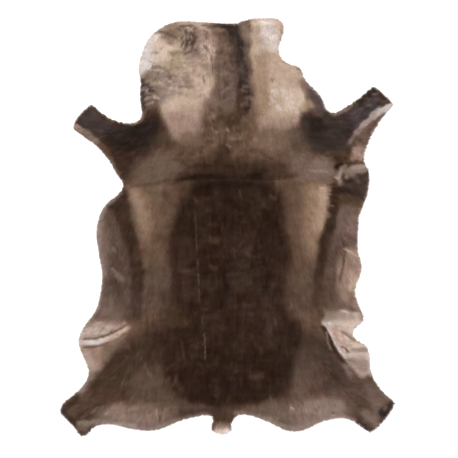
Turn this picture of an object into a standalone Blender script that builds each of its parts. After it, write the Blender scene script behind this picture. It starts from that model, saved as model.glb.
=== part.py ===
"""Reindeer hide: one tanned skin with its hair on, laid out flat with the hair side up.

Metres, +Z up. The hide lies on the plane z = 0. The origin is on that plane, in the middle of
the outline's box. +Y points to the neck, and the hair lies from the neck towards the tail.
"""

import math
from collections import namedtuple

import bmesh
import bpy
from mathutils import Vector, kdtree, noise
from mathutils.geometry import delaunay_2d_cdt, intersect_point_line

OBJECT_NAME = "reindeer_hide"
NODE_NAME = "hide"
MM = 0.001

# Locks of hair that stand out round the rim
LOCK_SPACING = 0.018
LOCK_UNEVENNESS = 0.8     # share by which a lock may be longer or shorter than its stretch says
LOCK_ROOT_INSET = 0.45    # share of a lock's length that lies inside the outline
LOCK_SWEEP = 0.0035       # most that a lock's tip leans back along the rim
LOCK_ROOT_HEIGHT = 0.0055
LOCK_TIP_HEIGHT = 0.0025
KNIFE_EDGE_HEIGHT = 0.0035

# Surface of the coat
RIM_SLOPE = 0.042         # width over which the coat rises from the rim to its full height
LUMP_HEIGHT = 0.0022
LUMP_SIZE = 0.075
TUFT_SIZE = 0.028
TUFT_SHARE = 0.45         # height of the small tufts, as a share of the lumps'

# Spacing of the points that shape the upper side
CURVE_STEPS = 12
RING_INSETS = (0.010, 0.025)
RING_SPACINGS = (0.013, 0.017)
FIELD_SPACING = 0.0205
FOLD_SPACING = 0.016
FOLD_PROFILE = (-1.0, -0.5, 0.0, 0.5, 1.0)

# The outline, clockwise from the left end of the neck cut, in millimetres. Each stretch has the
# length of its rim locks and the points that its curve runs through. CORNER marks a knife corner.
CORNER = "corner"
Stretch = namedtuple("Stretch", "name lock points")
OUTLINE = (
    Stretch("neck_cut", 4, (
        (-225, 579), (-201, 598), (-165, 614), (-81, 616), (-15, 611), (27, 610), (51, 621),
        (105, 627), (144, 628), (165, 618), (172, 600))),
    Stretch("neck_right", 6, (
        (162, 567), (153, 531), (165, 502), (191, 488), (222, 477), (229, 450), (257, 418),
        (285, 387), (295, 354), (318, 341))),
    Stretch("foreleg_right_front", 5, (
        (346, 353), (394, 385), (442, 426, CORNER))),
    Stretch("foreleg_right_cut", 2, (
        (504, 366, CORNER),)),
    Stretch("foreleg_right_back", 6, (
        (462, 324), (440, 285), (417, 237), (408, 198), (427, 174, CORNER))),
    Stretch("flank_right", 7, (
        (426, 138), (417, 87), (397, 39), (392, -24), (391, -72), (404, -111), (396, -153),
        (382, -186), (393, -234), (411, -279), (381, -303), (374, -322))),
    Stretch("belly_right", 5, (
        (402, -347), (417, -353), (427, -387), (432, -438), (459, -486))),
    Stretch("hind_leg_right_front", 5, (
        (508, -530, CORNER),)),
    Stretch("hind_leg_right_cut", 3, (
        (480, -570), (455, -599), (431, -622, CORNER))),
    Stretch("hind_leg_right_back", 5, (
        (390, -590), (354, -574), (294, -581))),
    Stretch("rump_right", 7, (
        (219, -612), (181, -611), (114, -580), (39, -562))),
    Stretch("tail", 8, (
        (19, -572), (10, -592), (14, -611), (-11, -622), (-46, -611), (-42, -586), (-39, -568))),
    Stretch("rump_left", 7, (
        (-81, -567), (-147, -583), (-207, -608), (-261, -610))),
    Stretch("hind_leg_left_back", 5, (
        (-375, -592), (-402, -602), (-432, -630))),
    Stretch("hind_leg_left_cut", 3, (
        (-459, -600), (-505, -556, CORNER))),
    Stretch("hind_leg_left_front", 5, (
        (-498, -538), (-450, -495), (-417, -453), (-415, -426))),
    Stretch("belly_left", 5, (
        (-435, -381), (-446, -333), (-424, -293), (-394, -252))),
    Stretch("flank_left", 7, (
        (-377, -183), (-375, -129), (-388, -60), (-389, 6), (-369, 62), (-321, 103), (-308, 129))),
    Stretch("foreleg_left_back", 6, (
        (-331, 160), (-352, 199), (-390, 242), (-437, 276), (-465, 294, CORNER))),
    Stretch("foreleg_left_cut", 2, (
        (-459, 314), (-408, 373, CORNER))),
    Stretch("foreleg_left_front", 5, (
        (-369, 336), (-333, 318), (-288, 311), (-261, 321))),
    Stretch("neck_left", 5, (
        (-254, 343), (-261, 387), (-258, 438), (-267, 474), (-259, 513), (-246, 549))),
)

# Height of the coat in its parts, in millimetres. A zone reaches out from its middle.
Zone = namedtuple("Zone", "name x y reach_x reach_y height")
COAT_ZONES = (
    Zone("back", 0, -90, 220, 430, 20),
    Zone("neck", 0, 430, 190, 200, 16),
    Zone("flank_left", -350, -40, 90, 240, 12),
    Zone("flank_right", 375, -40, 90, 240, 12),
    Zone("belly_left", -385, -350, 80, 90, 9),
    Zone("belly_right", 385, -350, 80, 100, 9),
    Zone("foreleg_left", -380, 300, 130, 90, 8),
    Zone("foreleg_right", 425, 320, 120, 100, 8),
    Zone("hind_leg_left", -430, -560, 130, 100, 9),
    Zone("hind_leg_right", 430, -560, 130, 100, 9),
    Zone("tail", -14, -600, 30, 35, 13),
)

# Raised folds and creases (a rise below 0), each along the points of its line, in millimetres
Fold = namedtuple("Fold", "name rise half_width line")
FOLDS = (
    Fold("withers_crease", -4.5, 15, ((-190, 152), (-80, 144), (30, 148), (140, 142), (258, 158))),
    Fold("withers_second_crease", -2.5, 13, ((-238, 122), (-150, 131), (-60, 128))),
    Fold("belly_left_upper_crease", -4, 10, ((-440, -340), (-381, -333), (-340, -314), (-300, -290))),
    Fold("belly_left_pleat", 6, 10, ((-442, -350), (-378, -345), (-336, -325), (-296, -301))),
    Fold("belly_left_lower_crease", -4, 10, ((-430, -364), (-381, -357), (-322, -334))),
    Fold("thigh_left_crease", -3, 14, ((-300, -308), (-345, -369), (-393, -434))),
    Fold("belly_right_ridge", 6, 11, ((287, -297), (310, -325), (340, -370), (368, -410))),
    Fold("belly_right_inner_ridge", 3.5, 9, ((285, -318), (293, -345), (303, -372))),
    Fold("belly_right_upper_crease", -4, 10, ((320, -300), (369, -331), (411, -350))),
    Fold("belly_right_roll", 5, 15, ((338, -330), (372, -355), (426, -362))),
    Fold("belly_right_lower_crease", -4, 10, ((342, -352), (352, -372), (370, -384))),
    Fold("armpit_right_fold", 5, 13, ((340, 122), (352, 140), (385, 152), (420, 172))),
    Fold("armpit_right_hollow", -3.5, 15, ((318, 106), (350, 100), (388, 96))),
    Fold("foreleg_right_hollow", -3, 15, ((330, 178), (372, 232), (428, 300))),
    Fold("neck_left_crease", -2.5, 10, ((-234, 481), (-186, 474))),
)


def linear_colour(red, green, blue):
    """Turn a colour from 0 to 255, as seen, into the linear values that a shader takes."""
    channels = []
    for value in (red, green, blue):
        share = value / 255
        channels.append(share / 12.92 if share <= 0.04045 else ((share + 0.055) / 1.055) ** 2.4)
    return (*channels, 1.0)


def coat_material():
    """Warm dark brown hair, dull."""
    colour = linear_colour(92, 72, 60)
    material = bpy.data.materials.new("reindeer_coat")
    material.use_nodes = True
    shader = material.node_tree.nodes["Principled BSDF"]
    shader.inputs["Base Color"].default_value = colour
    shader.inputs["Roughness"].default_value = 0.8
    shader.inputs["Metallic"].default_value = 0.0
    material.diffuse_color = colour
    return material


def outline_curve():
    """A closed 2D curve through the landmarks, smooth but for the knife corners."""
    curve = bpy.data.curves.new("hide_outline", "CURVE")
    curve.dimensions = "2D"
    curve.fill_mode = "NONE"
    curve.resolution_u = CURVE_STEPS
    spline = curve.splines.new("BEZIER")
    spline.use_cyclic_u = True
    landmarks = [point for stretch in OUTLINE for point in stretch.points]
    spline.bezier_points.add(len(landmarks) - 1)
    for knot, landmark in zip(spline.bezier_points, landmarks):
        knot.co = (landmark[0] * MM, landmark[1] * MM, 0)
        handle = "VECTOR" if CORNER in landmark else "AUTO"
        knot.handle_left_type = handle
        knot.handle_right_type = handle
    return curve


def trace_outline():
    """Points close together on the outline, as (place, lock length there, if it is a corner)."""
    curve_object = bpy.data.objects.new("hide_outline", outline_curve())
    bpy.context.scene.collection.objects.link(curve_object)
    evaluated = curve_object.evaluated_get(bpy.context.evaluated_depsgraph_get())
    places = [vertex.co.to_2d() for vertex in evaluated.to_mesh().vertices]
    evaluated.to_mesh_clear()
    bpy.data.objects.remove(curve_object)

    knots = [(stretch.lock * MM, CORNER in point) for stretch in OUTLINE for point in stretch.points]
    trace = []
    for index, place in enumerate(places):
        knot, step = divmod(index, CURVE_STEPS)
        owner = knots[knot] if step == 0 else knots[(knot + 1) % len(knots)]
        trace.append((place, owner[0], step == 0 and owner[1]))
    return trace


def steps_along(run, spacing, jitter=0.0):
    """Places on a run of the trace, as (place, direction, lock), without the run's last point."""
    reach = [0.0]
    for before, after in zip(run, run[1:]):
        reach.append(reach[-1] + (after[0] - before[0]).length)
    count = max(2, round(reach[-1] / spacing))
    steps = []
    segment = 0
    for number in range(count):
        shift = jitter * noise.noise((run[0][0].x / MM, run[0][0].y / MM, number * 0.7)) if number else 0
        target = reach[-1] * (number + shift) / count
        while reach[segment + 1] < target:
            segment += 1
        start, end = run[segment], run[segment + 1]
        share = (target - reach[segment]) / (reach[segment + 1] - reach[segment])
        steps.append((start[0].lerp(end[0], share), (end[0] - start[0]).normalized(), end[1]))
    return steps


def outward_of(along):
    """The direction out of the hide, where its clockwise outline runs along the one given."""
    return Vector((-along.y, along.x))


def rim_points(trace):
    """The rim seen from above, as (place, height): locks swept back, and the knife corners."""
    corners = [index for index, point in enumerate(trace) if point[2]]
    rim = []
    for start, end in zip(corners, corners[1:] + [corners[0] + len(trace)]):
        run = [trace[index % len(trace)] for index in range(start, end + 1)]
        rim.append((run[0][0], KNIFE_EDGE_HEIGHT))
        for number, (place, along, lock) in enumerate(steps_along(run, LOCK_SPACING / 2, 0.6)[1:]):
            length = lock * (1 + LOCK_UNEVENNESS * noise.noise((place / TUFT_SIZE).to_3d() * 3))
            if number % 2:
                root = place - outward_of(along) * length * LOCK_ROOT_INSET
                rim.append((root, LOCK_ROOT_HEIGHT))
            else:
                sweep = -along.y * min(length / 2, LOCK_SWEEP)
                tip = place + outward_of(along) * length * (1 - LOCK_ROOT_INSET) + along * sweep
                rim.append((tip, LOCK_TIP_HEIGHT))
    return rim


def tree_of(places):
    """A search tree of flat points."""
    tree = kdtree.KDTree(len(places))
    for index, place in enumerate(places):
        tree.insert(place.to_3d(), index)
    tree.balance()
    return tree


def inside_distance(trace):
    """A function that gives how far a point lies inside the outline, and less than 0 outside."""
    places = [point[0] for point in trace]
    tree = tree_of(places)

    def distance(point):
        _, index, gap = tree.find(point.to_3d())
        along = places[(index + 1) % len(places)] - places[index - 1]
        return gap if along.cross(point - places[index]) < 0 else -gap

    return distance


def thinned(places, gap, taken):
    """Those of the places that lie at least the gap from the taken ones and from each other."""
    cells = {}

    def cell_of(place):
        return math.floor(place.x / gap), math.floor(place.y / gap)

    def is_free(place):
        column, row = cell_of(place)
        near = [(column + i, row + j) for i in (-1, 0, 1) for j in (-1, 0, 1)]
        return all((place - other).length >= gap for cell in near for other in cells.get(cell, ()))

    for place in taken:
        cells.setdefault(cell_of(place), []).append(place)
    kept = []
    for place in places:
        if is_free(place):
            kept.append(place)
            cells.setdefault(cell_of(place), []).append(place)
    return kept


def fold_segments(fold):
    """The straight pieces of a fold's line, as (start, end), in metres."""
    line = [Vector(point) * MM for point in fold.line]
    return list(zip(line, line[1:]))


def fold_lift(fold, place):
    """How much a fold raises or lowers the coat at a place."""
    segments = fold_segments(fold)
    total = sum((end - start).length for start, end in segments)
    passed = 0.0
    best = (1.0, 0.0)
    for start, end in segments:
        share = min(max(intersect_point_line(place, start, end)[1], 0.0), 1.0)
        offset = (place - start.lerp(end, share)).length / (fold.half_width * MM)
        if offset < best[0]:
            best = (offset, (passed + share * (end - start).length) / total)
        passed += (end - start).length
    offset, share = best
    taper = min(1.0, 0.2 + 6 * share * (1 - share))
    return fold.rise * MM * taper * (1 - offset * offset) ** 2


def fold_points(inside):
    """Rows of points across each fold, from foot to foot."""
    points = []
    for fold in FOLDS:
        for start, end in fold_segments(fold):
            across = (end - start).normalized().orthogonal() * fold.half_width * MM
            count = math.ceil((end - start).length / FOLD_SPACING)
            for number in range(count + 1):
                crest = start.lerp(end, number / count)
                points.extend(crest + across * side for side in FOLD_PROFILE)
    return [point for point in points if inside(point) > RING_INSETS[0]]


def ring_points(trace, inside):
    """Points on two rings that follow the outline inside the rim."""
    rings = []
    for inset, spacing in zip(RING_INSETS, RING_SPACINGS):
        steps = steps_along(trace + trace[:1], spacing)
        ring = [place - outward_of(along) * inset for place, along, _ in steps]
        ring = [point for point in ring if inside(point) > inset * 0.85]
        rings.extend(thinned(ring, spacing * 0.75, rings))
    return rings


def field_points(inside):
    """A triangular pattern of points over the rest of the hide."""
    xs = [point[0] * MM for stretch in OUTLINE for point in stretch.points]
    ys = [point[1] * MM for stretch in OUTLINE for point in stretch.points]
    row_gap = FIELD_SPACING * math.sqrt(3) / 2
    points = []
    for row in range(int((max(ys) - min(ys)) / row_gap) + 1):
        shift = FIELD_SPACING / 2 * (row % 2)
        for column in range(int((max(xs) - min(xs)) / FIELD_SPACING) + 1):
            points.append(Vector((min(xs) + shift + column * FIELD_SPACING, min(ys) + row * row_gap)))
    return [point for point in points if inside(point) > RING_INSETS[-1] + FIELD_SPACING * 0.6]


def coat_height(place, depth):
    """Height of the hair's surface at a place that lies a given depth inside the outline."""
    total = 0.0
    weights = 0.0
    for zone in COAT_ZONES:
        across = (place.x / MM - zone.x) / zone.reach_x
        along = (place.y / MM - zone.y) / zone.reach_y
        weight = math.exp(-across * across - along * along)
        total += weight * zone.height * MM
        weights += weight
    crown = total / weights
    share = min(depth / RIM_SLOPE, 1.0)
    rise = share * (2 - share)
    lumps = noise.noise((place / LUMP_SIZE).to_3d())
    lumps += TUFT_SHARE * noise.noise((place / TUFT_SIZE).to_3d())
    height = LOCK_ROOT_HEIGHT + (crown - LOCK_ROOT_HEIGHT + LUMP_HEIGHT * lumps) * rise
    height += sum(fold_lift(fold, place) for fold in FOLDS)
    return max(height, LOCK_TIP_HEIGHT)


def hide_mesh():
    """One closed solid: the lifted upper side, the rim's wall and the flat underside."""
    trace = trace_outline()
    inside = inside_distance(trace)
    rim = rim_points(trace)
    folds = thinned(fold_points(inside), FOLD_SPACING * 0.28, [])
    rings = thinned(ring_points(trace, inside), RING_SPACINGS[0] * 0.6, folds)
    field = thinned(field_points(inside), FIELD_SPACING * 0.55, folds + rings)
    inner = folds + rings + field

    places = [place for place, _ in rim] + inner
    heights = [height for _, height in rim] + [coat_height(place, inside(place)) for place in inner]
    border = list(range(len(rim)))
    flat, _, triangles, sources, _, _ = delaunay_2d_cdt(places, [], [border], 1, MM * MM)

    shape = bmesh.new()
    tops = [shape.verts.new((*place, heights[source[0]])) for place, source in zip(flat, sources)]
    for triangle in triangles:
        shape.faces.new([tops[index] for index in triangle])
    rim_edges = [edge for edge in shape.edges if edge.is_boundary]
    wall = bmesh.ops.extrude_edge_only(shape, edges=rim_edges)["geom"]
    for vertex in (item for item in wall if isinstance(item, bmesh.types.BMVert)):
        vertex.co.z = 0.0
    ground_edges = [edge for edge in shape.edges if edge.is_boundary]
    underside = bmesh.ops.contextual_create(shape, geom=ground_edges)["faces"]
    bmesh.ops.triangulate(shape, faces=underside)
    bmesh.ops.recalc_face_normals(shape, faces=shape.faces)

    xs = [vertex.co.x for vertex in shape.verts]
    ys = [vertex.co.y for vertex in shape.verts]
    to_middle = Vector((-(min(xs) + max(xs)) / 2, -(min(ys) + max(ys)) / 2, 0.0))
    bmesh.ops.translate(shape, vec=to_middle, verts=shape.verts)

    mesh = bpy.data.meshes.new(NODE_NAME)
    shape.to_mesh(mesh)
    shape.free()
    mesh.shade_smooth()
    mesh.set_sharp_from_angle(angle=math.radians(55))
    return mesh


def main():
    for item in list(bpy.data.objects):
        bpy.data.objects.remove(item)
    parts = bpy.data.collections.new(OBJECT_NAME)
    bpy.context.scene.collection.children.link(parts)
    mesh = hide_mesh()
    mesh.materials.append(coat_material())
    parts.objects.link(bpy.data.objects.new(NODE_NAME, mesh))


main()
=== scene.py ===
# %% [markdown]
# # A reindeer hide, laid out flat with its hair on
#
# A tanned hide is one piece of thin skin. Its flesh side is pale suede, and its other side carries
# two coats: a short dense wool, and long straight guard hairs that lie over it like thatch, from
# the neck towards the tail and out along the legs.
# This lesson builds those layers in that order: the skin as a sheet, the wool as a soft closed
# body with the hide's folds, and the guard hair as many thousands of fine locks grown by Geometry
# Nodes. Every size is in metres, unless its name ends in MM.

# %% Load the fixed frame
import math
from collections import namedtuple

import bmesh
import bpy
import numpy as np
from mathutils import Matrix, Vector, kdtree


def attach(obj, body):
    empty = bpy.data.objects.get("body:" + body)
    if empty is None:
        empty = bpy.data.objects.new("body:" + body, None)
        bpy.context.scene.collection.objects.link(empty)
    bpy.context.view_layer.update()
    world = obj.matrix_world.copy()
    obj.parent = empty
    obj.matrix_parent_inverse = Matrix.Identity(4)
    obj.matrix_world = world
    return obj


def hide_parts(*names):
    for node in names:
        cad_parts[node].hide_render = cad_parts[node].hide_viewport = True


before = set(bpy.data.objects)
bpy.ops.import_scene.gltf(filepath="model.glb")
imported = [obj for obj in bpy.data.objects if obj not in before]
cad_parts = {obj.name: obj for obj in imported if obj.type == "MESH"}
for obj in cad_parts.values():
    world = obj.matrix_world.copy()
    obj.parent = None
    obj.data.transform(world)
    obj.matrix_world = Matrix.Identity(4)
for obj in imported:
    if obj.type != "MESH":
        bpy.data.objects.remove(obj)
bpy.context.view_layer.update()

MM = 0.001
BODY = "root"
HIDE_NODE = "hide"

# %% [markdown]
# ## The camera
#
# The photograph looks straight down on the hide from far enough away that nothing leans. A long
# lens on a high camera gives that view. Its distance follows from the width that the picture
# shows, so the hide fills the frame as it does in the photograph.

# %% Camera above the hide
PICTURE_WIDTH = 1.374
PICTURE_MIDDLE = (0.0029, -0.0062)
LENS_MM = 90
SENSOR_MM = 36
COAT_MIDDLE = 0.01        # height that the picture's width is measured at

camera_data = bpy.data.cameras.new("camera")
camera_data.lens = LENS_MM
camera_data.sensor_width = SENSOR_MM
camera = bpy.data.objects.new("camera", camera_data)
camera.location = (*PICTURE_MIDDLE, PICTURE_WIDTH * LENS_MM / SENSOR_MM + COAT_MIDDLE)
bpy.context.scene.collection.objects.link(camera)
bpy.context.scene.camera = camera
print("camera height in m:", round(camera.location.z, 3))

# %% [markdown]
# ## Soft irregularity
#
# No marking, tuft or fold on an animal is even. One small function gives smooth random values over
# the plan of the hide: it fills a lattice with random numbers and blends between them. It works on
# whole arrays of points at once, which keeps the script quick for a million points, and its seed
# makes it give the same result on each run.

# %% Smooth random values over the plan
LATTICE = 64


def soft_noise(points, size, seed):
    """Values from -1 to 1 that change smoothly over about the given size. Points are rows of x, y."""
    table = np.random.default_rng(seed).uniform(-1, 1, (LATTICE, LATTICE))
    place = points / size
    corner = np.floor(place).astype(int)
    share = place - corner
    share = share * share * (3 - 2 * share)
    column, row = (corner % LATTICE).T
    next_column, next_row = ((corner + 1) % LATTICE).T
    across, along = share.T
    low = table[column, row] * (1 - across) + table[next_column, row] * across
    high = table[column, next_row] * (1 - across) + table[next_column, next_row] * across
    return low * (1 - along) + high * along


# %% [markdown]
# ## The rim
#
# The skin is cut to an outline, and much depends on it: the wool stops just inside, the hair turns
# outwards over it, and the suede edge shows under it. The outline is read from the frame's own
# node. Its upper side is taken, its border is walked once round, and the walk is smoothed, because
# the border has a zigzag of small locks that the real hair will replace.

# %% The upper side of the hide as a mesh of its own
MERGE_GAP = 0.00002
UP_SHARE = 0.2            # a face counts as upper side where its normal points up by this much


def upper_side():
    """A bmesh of the hide's upper side, without its wall and its underside."""
    shape = bmesh.new()
    shape.from_mesh(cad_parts[HIDE_NODE].data)
    bmesh.ops.remove_doubles(shape, verts=shape.verts, dist=MERGE_GAP)
    shape.normal_update()
    others = [face for face in shape.faces if face.normal.z < UP_SHARE]
    bmesh.ops.delete(shape, geom=others, context="FACES")
    return shape


def walk_border(shape):
    """The vertices of the one border of an open surface, in order."""
    border = [edge for edge in shape.edges if edge.is_boundary]
    neighbours = {}
    for edge in border:
        for vertex in edge.verts:
            neighbours.setdefault(vertex, []).append(edge.other_vert(vertex))
    start = border[0].verts[0]
    loop = [start]
    before, here = start, neighbours[start][0]
    while here is not start:
        loop.append(here)
        onward = [vertex for vertex in neighbours[here] if vertex is not before][0]
        before, here = here, onward
    return loop


top_shape = upper_side()
border_walk = np.array([vertex.co.xy for vertex in walk_border(top_shape)])
print("upper side:", len(top_shape.faces), "faces, border:", len(border_walk), "points")

# %% The smoothed rim, with the way out of the hide at each point
RIM_SMOOTHING = 6
RIM_STEP = 0.002


def smooth_loop(loop, rounds):
    """A closed loop with each point drawn towards its neighbours a few times."""
    for _ in range(rounds):
        loop = loop * 0.5 + (np.roll(loop, 1, axis=0) + np.roll(loop, -1, axis=0)) * 0.25
    return loop


def even_loop(loop, step):
    """The same closed loop with its points a given step apart."""
    closed = np.vstack([loop, loop[:1]])
    reach = np.concatenate([[0], np.cumsum(np.linalg.norm(np.diff(closed, axis=0), axis=1))])
    places = np.arange(0, reach[-1], step)
    return np.stack([np.interp(places, reach, closed[:, axis]) for axis in (0, 1)], axis=1)


rim = even_loop(smooth_loop(border_walk, RIM_SMOOTHING), RIM_STEP)
rim_along = np.roll(rim, -1, axis=0) - np.roll(rim, 1, axis=0)
rim_along /= np.linalg.norm(rim_along, axis=1)[:, None]
turning = np.sum(rim[:, 0] * np.roll(rim[:, 1], -1) - np.roll(rim[:, 0], -1) * rim[:, 1])
rim_out = np.stack([rim_along[:, 1], -rim_along[:, 0]], axis=1) * np.sign(turning)
rim_tree = kdtree.KDTree(len(rim))
for number, (x, y) in enumerate(rim):
    rim_tree.insert((x, y, 0), number)
rim_tree.balance()


def rim_distance(points):
    """How far each point lies inside the rim, and the way out to the rim from there."""
    found = [rim_tree.find((x, y, 0))[1] for x, y in points]
    depth = np.sum((rim[found] - points) * rim_out[found], axis=1)
    gap = np.linalg.norm(rim[found] - points, axis=1)
    return np.where(depth > 0, gap, -gap), rim_out[found]


print("rim length in m:", round(len(rim) * RIM_STEP, 2), " area in m2:", round(abs(turning) / 2, 3))

# %% [markdown]
# ## The markings
#
# A reindeer's coat runs from near black on the back to cream at the neck and belly, in soft bands
# that are never quite mirrored. A maker who matches hides would chart them as bands and patches,
# and so does this table: each mark has a named colour, a core where the colour is full, a fade
# round it, and a line of a few points that it follows. The marks are laid on in order, large before
# small, as one would with a brush.
# Some marks are painted shade and light rather than coat colour: the dark lines in creases, folds and
# hollows, and the dark and pale wrinkles.
# The palette is short. Its colours started as averages of small spots of the photograph, and were
# then shifted a little, until most of the finished picture came close to it in tone. The outlines
# and lines of the marks were placed one by one.

# %% Coat colours, as a screen shows them, from 0 to 255
COLOURS = {
    "ink": (38, 24, 17),
    "soot": (44, 34, 29),
    "sable": (49, 32, 23),
    "bark": (61, 43, 32),
    "violet_black": (60, 48, 43),
    "peat": (70, 53, 44),
    "walnut": (74, 54, 41),
    "plum": (76, 65, 65),
    "cocoa": (89, 66, 51),
    "drab": (91, 71, 60),
    "brown": (104, 80, 63),
    "umber": (108, 87, 73),
    "olive_brown": (109, 88, 66),
    "mauve_brown": (114, 92, 80),
    "taupe": (124, 101, 82),
    "mauve": (134, 112, 101),
    "grey_taupe": (142, 123, 110),
    "tan": (156, 128, 103),
    "ash": (158, 138, 124),
    "rose_tan": (159, 131, 115),
    "sand": (168, 147, 116),
    "fawn": (176, 150, 127),
    "grey_cream": (176, 158, 147),
    "cream": (190, 166, 144),
    "rose_cream": (201, 172, 153),
    "shell": (198, 180, 167),
    "pale_cream": (211, 189, 169),
    "off_white": (216, 204, 197),
    "white": (248, 234, 224),
}
GROUND = "cocoa"

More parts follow.
